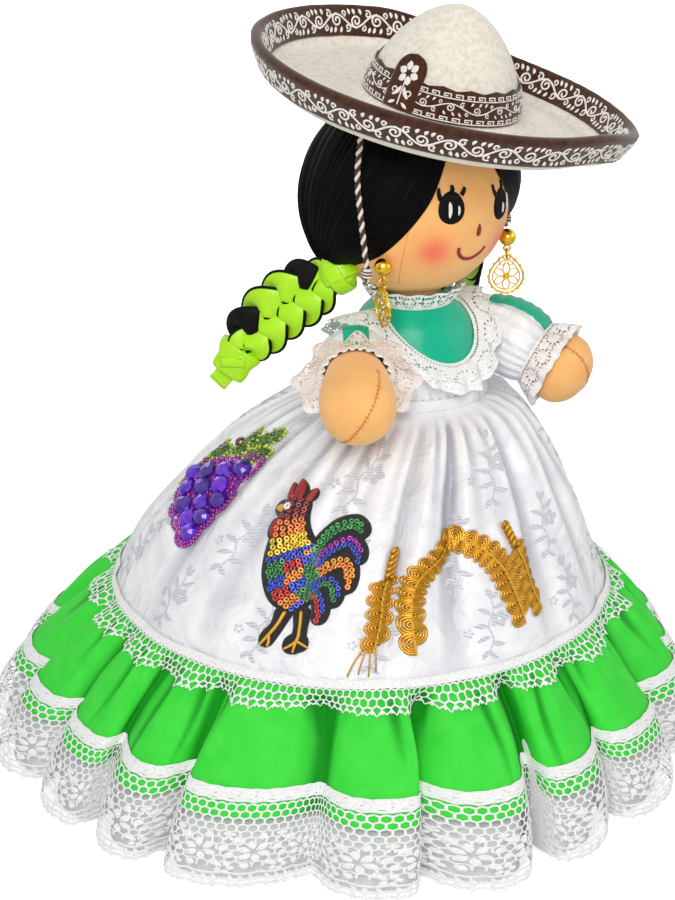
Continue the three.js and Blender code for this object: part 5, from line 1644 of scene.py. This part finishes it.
# Sleeves: short satin puffs with a teal strip on top and a lace cuff
sleeve = {
    "length": {"right": 26, "left": 38},
    "cuffReach": {"right": 29.5, "left": 22.5},
    "cuffLength": {"right": 7.5, "left": 13.4},
    "cuffTuck": {"right": 6.5, "left": 0},  # less flare below, over the skirt
    "cuffRadius": 17.4,
    "cuffAround": 132.0,
    "cuffDepth": 14.5,
    "gathers": 22,
    "strip": 13,
}
cuffFlowers = flowerLace(12.0, 7.4, sleeve["cuffDepth"], 3.3)
for side in sideNames:
    long = sleeve["length"][side]
    sleeveSoft = softRows(
        [(13.5, 3), (18.3, 0.38 * long), (19.6, 0.66 * long), (18.6, 0.86 * long), (16.6, long)], 40
    )
    angle = cols(132)
    _, armAlong, armAxis, armDown = armFrames[side]
    hand = 1 if np.dot(np.cross(-armDown, armAxis), armAlong) < 0 else -1
    rows, along = sleeveSoft[:, :1], sleeveSoft[:, 1:]
    tight = 0.25 + np.abs(along - 0.55 * long) / (0.45 * long)
    pinch = 0.9 * np.cos(sleeve["gathers"] * angle + 1.5 * np.sin(4 * angle)) * tight
    puffGrid = roundArm(side, rows + 0.2 + pinch * 0.8, hand * angle + 0 * rows, along + 0 * angle)
    sleevePiece = meshPiece(f"{side}_sleeve", puffGrid, brocade)
    thicken(sleevePiece, 0.7)
    carry(sleevePiece, f"{side}_arm_body", "white_brocade", f"{side}_sleeve")
    spread = np.linspace(-1, 1, 22)[None, :]
    alongStrip = np.linspace(3.8, long - 0.4, 40)[:, None]
    radius = np.interp(alongStrip, sleeveSoft[:, 1], sleeveSoft[:, 0]) + 1.5
    stripAngle = hand * spread * (sleeve["strip"] / 2) / radius
    rippled = radius + 0.25 * np.cos(alongStrip * 1.1) + 0 * spread
    stripGrid = roundArm(side, rippled, stripAngle, alongStrip + 0 * spread)
    strip = meshPiece(f"{side}_sleeve_strip", gridPart(stripGrid, wrap=False), tealSatin)
    thicken(strip, 0.7)
    carry(strip, f"{side}_arm_body", "teal_satin", f"{side}_sleeve_strip")

    def cuffPlace(u, v, height, side=side, hand=hand, long=long):
        turn = u * tau
        flute = 2.4 * v * np.cos(9 * turn + 0.8 * np.sin(3 * turn)) + 0.7 * v * np.cos(17 * turn)
        reach = sleeve["cuffReach"][side] - sleeve["cuffTuck"][side] * smoothStep(-0.2, -1, np.cos(turn))
        radius = sleeve["cuffRadius"] + (reach - sleeve["cuffRadius"]) * v**0.85 + flute + height * 0.7
        scallop = 0.7 * np.abs(np.cos(10 * turn)) * smoothStep(0.8, 1, v)
        return roundArm(side, radius, hand * turn, long - 0.6 + sleeve["cuffLength"][side] * v + scallop)

    cuff = laceCloth(
        f"{side}_cuff_lace", cuffPlace, sleeve["cuffAround"], sleeve["cuffDepth"], cuffFlowers, 280, 28
    )
    carry(cuff, f"{side}_arm_body", "white_lace", f"{side}_cuff_lace")
print("bodice: yoke, collar, sleeves and cuffs")

# Face: satin stitch in close upright threads, strokes for the lashes, and running stitches on the seams
face = {
    "right": {
        "eye": (-16.4, 7.4),
        "half": (8.2, 9.7),
        "lashes": [((-0.8, 0.5), (-23.9, 19.3)), ((0.05, 0.9), (-15.8, 20.4)), ((0.8, 0.7), (-7.2, 18.4))],
        "glints": [((-0.2, 0.38), (-0.24, -0.55), 2.0), ((0.46, 0.12), (0.42, -0.44), 1.3)],
    },
    "left": {
        "eye": (24.0, 2.6),
        "half": (8.8, 9.7),
        "lashes": [((-0.7, 0.62), (15.8, 15.6)), ((0.15, 0.9), (25.6, 16.2)), ((0.85, 0.62), (36.0, 12.0))],
        "glints": [((-0.06, 0.12), (-0.12, -0.48), 1.5), ((0.6, 0.56), (0.56, -0.42), 1.7)],
    },
    "threads": 26,
    "nose": (2.9, -8.4),
    "noseHalf": (1.7, 4.3),
    "mouth": [
        (-10.1, -17.2), (-9.7, -20.8), (-6.0, -25.2), (-0.1, -27.1), (5.2, -26.4), (9.4, -24.2),
        (12.0, -21.0)
    ],
    "mouthStitches": 11,
    "seam": [(-40.8, -1.5), (-44.0, -17.0), (-47.2, -33.0), (-49.8, -47.5)],
    "seamStitches": 26,
    "lashWidths": np.array([1.25, 1.25, 1.2, 1.15, 1.1, 1.0, 0.95, 0.85, 0.5]),
    "glintWidths": np.array([0.25, 0.7, 0.95, 1, 1, 1, 0.9, 0.65, 0.25]),
    "mouthWidths": np.array([0.55, 0.85, 1, 1, 1, 1, 1, 0.85, 0.55]),
}


def satinOval(centre, half, threads, lift, narrow):
    across = np.linspace(-1, 1, threads * 4 + 1)[None, :]
    reach = np.sqrt(1 - (0.99 * across) ** 2)
    up = np.linspace(1, -1, 17)[:, None] * reach
    edge = np.clip(1 - (across**2 + up**2) ** 3, 0, 1) ** 0.5
    ridge = np.abs(np.sin(math.pi * (across + 1) * threads / 2))
    out = -0.15 + edge * (lift + 0.12 * ridge)
    lean = centre[0] + half[0] * across * (1 - narrow * up) / math.cos(math.radians(centre[1]))
    return gridPart(onHead(lean, centre[1] + half[1] * up, out), wrap=False)


# A laid thread on the head: points across and up, half widths along it
def headStroke(points, halfWidth, lift, count=9):
    flat = through(points, count)
    path = onHead(flat[:, 0], flat[:, 1], 0 * flat[:, 0] + lift)
    return gridPart(sweep(path, halfWidth, np.minimum(halfWidth, 0.45), sides=10, face=unit(path - headAt)))


faceThreads = [blackThread, whiteThread, redThread, seamThread]
faceParts = []
for side in sideNames:
    eye = face[side]
    eyeAt, half = np.array(eye["eye"]), np.array(eye["half"])
    faceParts.append((*satinOval(eyeAt, half, face["threads"], 0.75, 0.1), 0))
    for base, tip in eye["lashes"]:
        start, tip = eyeAt + half * base, np.array(tip)
        bend = (start + tip) / 2 + [0.6 * np.sign(tip[0] - start[0]), 0]
        faceParts.append((*headStroke([start, bend, tip], face["lashWidths"], 0.35), 0))
    for top, low, wide in eye["glints"]:
        ends = [eyeAt + half * top, eyeAt + half * (np.array(top) + low) / 2 + [0.4, 0], eyeAt + half * low]
        faceParts.append((*headStroke(ends, wide / 2 * face["glintWidths"], 1.25), 1))
faceParts.append((*satinOval(face["nose"], face["noseHalf"], 6, 0.6, 0.35), 2))
mouthLine = through(face["mouth"], 120)
for stitch in range(face["mouthStitches"]):
    first = int(119 * stitch / (face["mouthStitches"] + 0.6))
    last = min(first + int(119 * 1.6 / face["mouthStitches"]), 119)
    ends = mouthLine[[first, (first + last) // 2, last]] + [[0, -0.35], [0, 0], [0, 0.35]]
    full = 0.95 - 0.25 * stitch / face["mouthStitches"]
    faceParts.append((*headStroke(ends, full * face["mouthWidths"], 0.4), 2))
for sign in (1, -1):
    seamLine = through(face["seam"], face["seamStitches"] * 2) * [sign, 1]
    for stitch in range(face["seamStitches"]):
        first, last = seamLine[2 * stitch : 2 * stitch + 2]
        faceParts.append((*headStroke([first, (first + last) / 2, last], 0.16, 0.1, 5), 3))
faceSewn = meshPiece("face_embroidery", faceParts, faceThreads, weld=True)
carry(faceSewn, "head_body", "skin_cloth")

# Hands: the cotton is closed by a gathered seam over the fingertips
handSeam = {"stitches": 30, "lean": 0.55, "from": 42, "to": 54, "lift": 0.15}
for side, sign in sideNames.items():
    armSoft = softRows(body["armRows"][side], 64)
    near = armSoft[armSoft[:, 1] > handSeam["from"]]
    beyond = armSoft[armSoft[:, 1] > handSeam["to"]][::-1] * [-1, 1]
    over = np.concatenate([near, beyond[1:]])
    length = pathLength(over)
    line = valuesAt(np.linspace(0, length[-1], handSeam["stitches"]), length, over)
    way = unit(np.gradient(line, axis=0))
    outward = np.stack([way[:, 1], -way[:, 0]], -1)
    lifted = (line + outward * lift for lift in (handSeam["lift"], 1.0))
    seamLine, above = (roundArm(side, at[:, 0], handSeam["lean"] * sign, at[:, 1]) for at in lifted)
    across = unit(np.cross(np.gradient(seamLine, axis=0), above - seamLine))
    stitchParts = [sweep(seamLine, 0.2, sides=6)]
    for number, at in enumerate(seamLine):
        wide = across[number] * (1.1 + 0.5 * math.sin(2.3 * number))
        stitchParts.append(sweep(through([at - wide, at, at + wide], 5), 0.15, sides=6))
    stitches = meshPiece(f"{side}_hand_stitches", stitchParts, seamThread, weld=True)
    carry(stitches, f"{side}_arm_body", "skin_cloth")
print("face: eyes, lashes, nose, mouth and seams sewn")

# Places on the bell of the skirt: a patch has its own x across, y up and z out of the cloth
patches = {
    "grape": {"angle": 108, "drop": 0.41, "lean": 28},
    "rooster": {"angle": 57.5, "drop": 0.561, "lean": 5},
    "arch": {"angle": 15, "drop": 0.599, "lean": 0},
    "rightStrip": {"angle": 35.6, "drop": 0.627, "lean": -3},
    "leftStrip": {"angle": -4.6, "drop": 0.608, "lean": 17},
}
skirtSlant = 129


def onSkirt(points, patch, lift=0.0):
    points = np.asarray(points, float)
    lean = math.radians(patch["lean"])
    c, s = heading(lean)
    along, up = points[..., 0] * c - points[..., 1] * s, points[..., 0] * s + points[..., 1] * c
    t = np.maximum(patch["drop"] - up / skirtSlant, 0.03)
    angle = math.radians(-90 - patch["angle"]) + along / bellRadius(t)
    sideways = skirtPlace(angle + 0.02, t) - skirtPlace(angle - 0.02, t)
    below = skirtPlace(angle, t + 0.02) - skirtPlace(angle, t - 0.02)
    out = unit(np.cross(below, sideways))
    return skirtPlace(angle, t) + out * (points[..., 2:] + lift), out


# Geometry Nodes: a sequin on each place, turned to the cloth and sized, which keeps the place's tint
sewInputs = {"Places": "Geometry", "Sequin": "Object", "Material": "Material"}
sewTree, sewSockets, source = startTree("sewSequins", sewInputs)
faceOut, sizeEach = (
    addNode(sewTree, "GeometryNodeInputNamedAttribute", {"Name": name}, data_type=kind).outputs["Attribute"]
    for name, kind in (("out", "FLOAT_VECTOR"), ("size", "FLOAT"))
)
turnOut = addNode(sewTree, "FunctionNodeAlignRotationToVector", {"Vector": faceOut}, axis="Z").outputs[0]
sequinMesh = addNode(sewTree, "GeometryNodeObjectInfo", {"Object": source["Sequin"]}).outputs["Geometry"]
sewing = {"Points": source["Places"], "Instance": sequinMesh, "Rotation": turnOut, "Scale": sizeEach}
sewnOn = addNode(sewTree, "GeometryNodeInstanceOnPoints", sewing).outputs[0]
realSequins = addNode(sewTree, "GeometryNodeRealizeInstances", {"Geometry": sewnOn}).outputs[0]
foiled = {"Geometry": realSequins, "Material": source["Material"]}
addNode(sewTree, "NodeGroupOutput", {0: addNode(sewTree, "GeometryNodeSetMaterial", foiled).outputs[0]})
tiltMaker = np.random.default_rng(5)


# Each spot is x, y, size and tint
def sew(name, sequin, spots, patch, lift):
    flat = np.array([(spot[0], spot[1], 0) for spot in spots], float)
    places, out = onSkirt(flat, patch, lift)
    out = unit(out + tiltMaker.normal(0, 0.12, out.shape))
    mesh = bpy.data.meshes.new(name)
    mesh.from_pydata((places * mm).tolist(), [], [])
    for layer, kind, key, values in (
        ("out", "FLOAT_VECTOR", "vector", out),
        ("size", "FLOAT", "value", [spot[2] for spot in spots]),
        ("tint", "FLOAT_COLOR", "color", [linear(spot[3]) for spot in spots]),
    ):
        mesh.attributes.new(layer, kind, "POINT").data.foreach_set(
            key, np.array(values, np.float32).ravel()
        )
    return runTree(newObject(name, mesh), sewTree, sewSockets, {"Sequin": sequin, "Material": foil})


ringRows = [(0.45, 0.1), (0.55, 0.4), (1.0, 0.52), (1.5, 0.42), (1.58, 0)]
cupRows = [(0.05, 3.5), (1.7, 3.4), (3.5, 2.4), (4.7, 0.8), (4.8, 0)]
seedRows = [(0.2, 1.5), (0.8, 1.3), (1.1, 0.75), (0.85, 0.15), (0.3, 0)]
ringSequin = meshPiece("ringSequin", turned(ringRows, 14), foil)
cupSequin = meshPiece("cupSequin", turned(cupRows, 9), foil, smooth=False)
seedBead = meshPiece("seedBead", turned(seedRows, 10), foil)


# Felt along a path of x, y and full width, with round ends and soft edges
def feltBand(path, rise, patch, lift=0.3, mark=0):
    line = through(path, 30)
    place, half = line[:, :2], line[:, 2] / 2
    way = unit(np.gradient(place, axis=0))
    left = np.stack([-way[:, 1], way[:, 0]], -1)
    length = pathLength(place)
    near = np.minimum(length, length[-1] - length)
    cap = np.sqrt(1 - (1 - np.clip(near / half, 0.001, 1)) ** 2)
    spread = np.linspace(-1, 1, 11)
    flat = place[:, None] + left[:, None] * (spread[None, :] * (half * cap)[:, None])[..., None]
    high = rise * (1 - spread**8)[None, :] * np.minimum(cap * 3, 1)[:, None]
    grid, _ = onSkirt(np.concatenate([flat, high[..., None]], -1), patch, lift)
    return (*gridPart(grid, wrap=False), mark)


# Rows of places across a felt path, in from its border
def rowsAcross(path, spacing, border):
    line = through(path, 80)
    length = pathLength(line[:, :2])
    rows = []
    for at in np.arange(border, length[-1] - border + 0.1, spacing):
        x, y, wide = valuesAt(at, length, line)
        way = unit((valuesAt(at + 0.5, length, line) - valuesAt(at - 0.5, length, line))[:2])
        count = max(1, int((wide - 2 * border) / spacing) + 1)
        offsets = (np.arange(count) - (count - 1) / 2) * spacing
        rows.append([(x - way[1] * off, y + way[0] * off) for off in offsets])
    return rows


# Grapes: violet cups with seed beads round each, leaves of olive beads, and a brown stem
grape = {
    "rows": [
        (9, (-13.5, -3.5, 6.5, 16)), (0.5, (-11.5, -1.4, 9)), (-8.6, (-8.4, 1.6, 11)), (-17.4, (-4, 5.6)),
        (-26, (0.4,))
    ],
    "cups": ("#5A0FC4", "#3E0A96", "#6B16D2", "#480C9C"),
    "beads": ("#B0189C", "#8E1CB0", "#C42AA6"),
    "backing": [(0, 16, 30), (0, 9, 42), (0.5, 0, 34), (1, -9, 30), (1, -18, 20), (0.4, -33, 8)],
    "leaves": [
        (8.5, 24.5, 7.5, 5.0, 80), (18, 25, 7.4, 5.0, 22), (18.5, 16.6, 6.4, 4.2, -14),
        (-7, 21.6, 7.2, 4.6, 158), (-17, 17.6, 6.4, 4.0, 206), (-21.6, 9, 5.8, 3.4, 246)
    ],
    "leafBeads": ("#B4CC1E", "#98B412", "#C2D636"),
    "leafSequins": ("#35600F", "#4C7A12", "#2A4A0C"),
    "stem": (0.6, 25.5),
}
violetCloth = threadMaterial("violetCloth", "#7C1FA0", "#4C1068", 0.6)
grapeParts = [feltBand(grape["backing"], 0.7, patches["grape"])]
cupSpots, beadSpots, leafSpots = [], [], []
centres = np.array([(x, y) for y, row in grape["rows"] for x in row], float)
for number, (x, y) in enumerate(centres):
    cupSpots.append((x, y, 1.14, grape["cups"][number % 4]))
    for reach in (5.7, 7.7):
        for turn in circle(int(reach * 3.2)):
            spot = np.array([x, y]) + reach * heading(turn)
            clear = np.min(np.linalg.norm(centres - spot, axis=1)) > reach - 0.35
            free = all(math.hypot(spot[0] - b[0], spot[1] - b[1]) > 1.7 for b in beadSpots)
            if clear and free:
                beadSpots.append((*spot, 0.95, grape["beads"][len(beadSpots) % 3]))
for x, y, long, wide, lean in grape["leaves"]:
    way = heading(math.radians(lean))
    side = np.array([-way[1], way[0]])
    middle = np.array([x, y])
    ends = [(*(middle + way * long * k), wide * 2 * (1 - 0.35 * abs(k))) for k in (-1, -0.5, 0, 0.5, 1)]
    grapeParts.append(feltBand(ends, 0.5, patches["grape"], 0.4, 1))
    for turn in circle(18):
        spot = middle + way * long * math.cos(turn) + side * wide * math.sin(turn)
        beadSpots.append((*spot, 0.9, grape["leafBeads"][len(beadSpots) % 3]))
    for k in (-0.66, -0.33, 0, 0.33, 0.66):
        for offset in (-0.36, 0.36):
            spot = middle + way * long * k + side * wide * (offset + 0.2 * math.sin(9 * k))
            leafSpots.append((*spot, 1.2, grape["leafSequins"][len(leafSpots) % 3]))
cupSpots.append((*grape["stem"], 0.62, "#6B2A12"))
softPiece("grape_patch", "torso_body", "purple_sequins", grapeParts, [violetCloth, limeThread])
for name, sequin, spots, lift in (
    ("grape_cups", cupSequin, cupSpots, 0.9),
    ("grape_beads", seedBead, beadSpots, 0.7),
    ("grape_leaf_sequins", ringSequin, leafSpots, 1.0),
):
    carry(sew(name, sequin, spots, patches["grape"], lift), "torso_body", "purple_sequins")

# Rooster: black felt, bands of ring sequins, and embroidered beak, wattle and legs
rooster = {
    "edge": 2.2,
    "body": [(-14.2, 38, 13), (-14, 27, 14), (-11, 14, 21), (-6, 2, 28.5), (0, -9, 28), (6, -18, 16)],
    "comb": [
        [(-18.5, 34, 5), (-21, 40.5, 4.6)], [(-14.5, 36, 6), (-14.8, 44, 5)],
        [(-10, 34, 5), (-8.2, 40.5, 4.6)]
    ],
    "wattle": [(-18.5, 25, 6), (-20.5, 20, 7.5), (-19.5, 15.5, 6)],
    "beak": [(-18.5, 30, 7), (-22.5, 29, 6), (-26, 27.4, 4)],
    "tail": [
        ([(3, 4, 8), (5, 15, 8.5), (12, 23, 8.5), (20, 23, 7.5), (24.5, 17, 6)], ("#1F7A33", "#2C9440")),
        ([(5, 1, 8), (10, 11, 8), (17.5, 15.5, 8), (24, 11, 7), (25.5, 4, 5.5)], ("#1C38AC", "#A31FA8")),
        ([(7, -2, 8), (13.5, 4.5, 8), (20, 5, 8), (23.5, -2, 7), (23.5, -10, 5.5)], ("#F5861A", "#F5A020")),
        ([(8, -6, 8), (14, -3.5, 8), (18.5, -8, 7.5), (18.5, -17, 5.5)], ("#1F7A33", "#1C38AC")),
        ([(6, -10, 8), (11, -12, 8), (13.5, -19, 7.5), (12, -26, 5.5)], ("#C4181C", "#2142C0")),
    ],
    "legs": [
        [(-4, -17, 9), (-6.5, -27, 5.5), (-10, -33, 6.5), (-13, -38.5, 5.5)],
        [(4, -17, 9), (5, -28, 5.5), (4.5, -35, 7), (1, -39, 8.5)]
    ],
    "toes": [[(10.5, -37.5, 7), (4.5, -36, 9), (-2, -39.5, 7)]],
    "claws": [
        [(-4, -20, 1.8), (-6.5, -27, 1.6), (-10, -33, 1.5), (-13.5, -38, 1.2)],
        [(-9.5, -32, 1.4), (-9, -35.5, 1.3), (-9.5, -38.5, 1)],
        [(4, -20, 1.8), (5, -28, 1.6), (4.5, -35, 1.6), (-1.5, -39.5, 1.2)],
        [(4.5, -35, 1.5), (4, -38, 1.3), (3.5, -41, 1)],
        [(4.5, -35, 1.5), (8, -36.5, 1.3), (11, -38, 1)],
    ],
    "bands": [("#8E1418", 4), ("#EE7A14", 3), ("#F4C516", 3), ("#1C38AC", 1)],
    "breast": ("#1F7A33", "#2142C0", "#C4181C", "#F08A1A", "#2142C0", "#1F7A33"),
}
spot = patches["rooster"]
feltPaths = [rooster["body"], rooster["wattle"], rooster["beak"], *rooster["comb"]]
feltPaths += [path for path, _ in rooster["tail"]] + rooster["legs"] + rooster["toes"]
edged = [[(x, y, wide + rooster["edge"]) for x, y, wide in path] for path in feltPaths]
roosterParts = [feltBand(path, 1.3, spot) for path in edged]
roosterParts.append(feltBand([(-18.8, 25, 3), (-20.3, 20, 3.6), (-19.7, 17, 2.6)], 0.6, spot, 1.5, 1))
roosterParts.append(feltBand([(-19, 30, 3.8), (-22, 29, 3), (-24.6, 28, 1.4)], 0.7, spot, 1.5, 2))
roosterParts += [
    feltBand([(x, y, wide - 1) for x, y, wide in path], 0.8, spot, 1.5, 1) for path in rooster["comb"]
]
roosterParts += [feltBand(path, 0.7, spot, 1.5, 2) for path in rooster["claws"]]
softPiece("rooster_patch", "torso_body", "black_felt", roosterParts, [blackFelt, redThread, yellowThread])
rowTints = [tint for tint, count in rooster["bands"] for _ in range(count)]
ringSpots = []
for number, row in enumerate(rowsAcross(rooster["body"], 2.75, 2.35)):
    for column, (x, y) in enumerate(row):
        patchwork = rooster["breast"][(number // 2 + 2 * (column // 3)) % 6]
        ringSpots.append((x, y, 1.0, rowTints[number] if number < len(rowTints) else patchwork))
for path, tints in rooster["tail"]:
    for number, row in enumerate(rowsAcross(path, 2.6, 2.2)):
        for column, (x, y) in enumerate(row):
            ringSpots.append((x, y, 0.95, tints[column % 2]))
roosterRings = sew("rooster_sequins", ringSequin, ringSpots, spot, 1.55)
roosterEye = sew("rooster_eye", ringSequin, [(-17.0, 31.4, 1.35, "#F2F2F0")], spot, 1.95)
carry(roosterRings, "torso_body", "black_felt")
carry(roosterEye, "torso_body", "black_felt")
for sequin in (ringSequin, cupSequin, seedBead):
    discard(sequin)
print("patches: grapes and rooster sewn")

# Gimp: scrolls of four gold cords on alternate sides of a chain, laid along a path
gimp = {
    "pitch": 6.2,
    "depth": 16,
    "arch": [
        (-25, -35), (-25.5, -10), (-21.5, 4), (-11, 13), (0, 19), (12.5, 14), (21, 4), (27.5, -10),
        (36, -31)
    ],
    "rightStrip": [(0, -30), (1.2, -14), (0, 0), (0.6, 11)],
    "leftStrip": [(0, -30), (-1, -14), (0.6, 2), (0, 15)],
    "twist": 14,
    "margin": 2.7,
    "link": 3.1,
}
gimpGround = threadMaterial("goldGimpGround", "#B07A1C", "#7A5010", 0.5, 0.5)


def gimpTile(pitch, middle):
    parts = []
    bend = np.linspace(0, math.pi, 13)
    for hand, share in ((-1, 0.25), (1, 0.75)):
        for ring in range(4):
            reach, half = 6.7 - 1.55 * ring, 3.35 - 0.8 * ring
            arc = np.stack(
                [pitch * share + half * np.cos(bend), middle + hand * reach * np.sin(bend) ** 0.8], -1
            )
            parts.append(ribbon(arc if hand < 0 else arc[::-1], 1.2, 0.8 + 0.25 * ring))
    return parts


# A strip of cloth along a patch path: u runs along it and v from its left to its right
def stripOnSkirt(name, path, patch, width, lift, material):
    line = through(path, 90)
    way = unit(np.gradient(line, axis=0))
    right = np.stack([way[:, 1], -way[:, 0]], -1)
    across = np.linspace(-0.5, 0.5, 9)[:, None, None] * width
    flat = line[None] + right[None] * across
    grid = onSkirt(np.concatenate([flat, 0 * flat[..., :1]], -1), patch, lift)[0]
    return meshPiece(name, gridPart(grid, wrap=False), material), pathLength(line)[-1]


def layGimp(name, path, patch):
    strip, length = stripOnSkirt("gimpCloth", path, patch, gimp["depth"], 0.5, goldGimp)
    run = length - 2 * gimp["margin"]
    count = int(run / gimp["pitch"])
    pitch, middle, link = run / count, gimp["depth"] / 2, gimp["link"]
    repeat = (length, gimp["depth"], count, pitch, gimp["margin"] / length, 0, 0.3)
    scrolls = layOn(name, gimpTile(pitch, middle), strip, goldGimp, *repeat)
    chain = [ribbon([(0, middle), (1.9, middle)], 1.0, 0.5)]
    chain.append(ribbon([(1.9, middle - 0.6), (link, middle + 0.6)], 0.7, 0.5))
    repeat = (length, gimp["depth"], int((length - 2) / link), link, 0.5 / length, 0, 1.5)
    stitched = layOn(f"{name}_chain", chain, strip, yellowThread, *repeat)
    ground, _ = stripOnSkirt("gimpGround", through(path, 60)[5:-5], patch, 6.0, 0.45, gimpGround)
    discard(strip)
    return [scrolls, stitched, ground]


archPiece = merge("gimp_arch", layGimp("archScrolls", gimp["arch"], patches["arch"]))
carry(archPiece, "torso_body", "gold_gimp", "gimp_arch")
for side in sideNames:
    path, patch = gimp[f"{side}Strip"], patches[f"{side}Strip"]
    pieces = layGimp(f"{side}Scrolls", path, patch)
    # The top of the strip is twisted thin, and the doll's right one frays at its foot
    (footX, footY), (topX, topY) = path[0], path[-1]
    turn = np.linspace(0, tau * 2.4, 48)
    loose = []
    for start in (0, math.pi):
        x = topX + (1.5 - 0.02 * turn) * np.sin(turn + start)
        y = topY - 2 + gimp["twist"] * turn / turn[-1]
        rope = np.stack([x, y, 1.6 + 1.1 * np.cos(turn + start)], -1)
        loose.append(sweep(onSkirt(rope, patch, 0.6)[0], 1.15, sides=8))
    if side == "right":
        for start, sway, drop in ((-5, -6, 12), (-3.4, -2.5, 10.5), (-1.5, 0.6, 11.5), (0.6, 1.8, 9)):
            x = footX + start
            ends = [
                (x, footY + 3, 0.8), (x + sway * 0.6, footY - drop * 0.4, 1.0),
                (x + sway, footY - drop, 0.5)
            ]
            hang = through(ends, 14)
            loose.append(sweep(onSkirt(hang, patch, 0.4)[0], 0.42, sides=6))
    pieces.append(meshPiece(f"{side}Twist", loose, goldGimp, weld=True))
    stripPiece = merge(f"{side}_gimp_strip", pieces)
    carry(stripPiece, "torso_body", "gold_gimp", f"{side}_gimp_strip")
print("gimp: arch and strips laid")
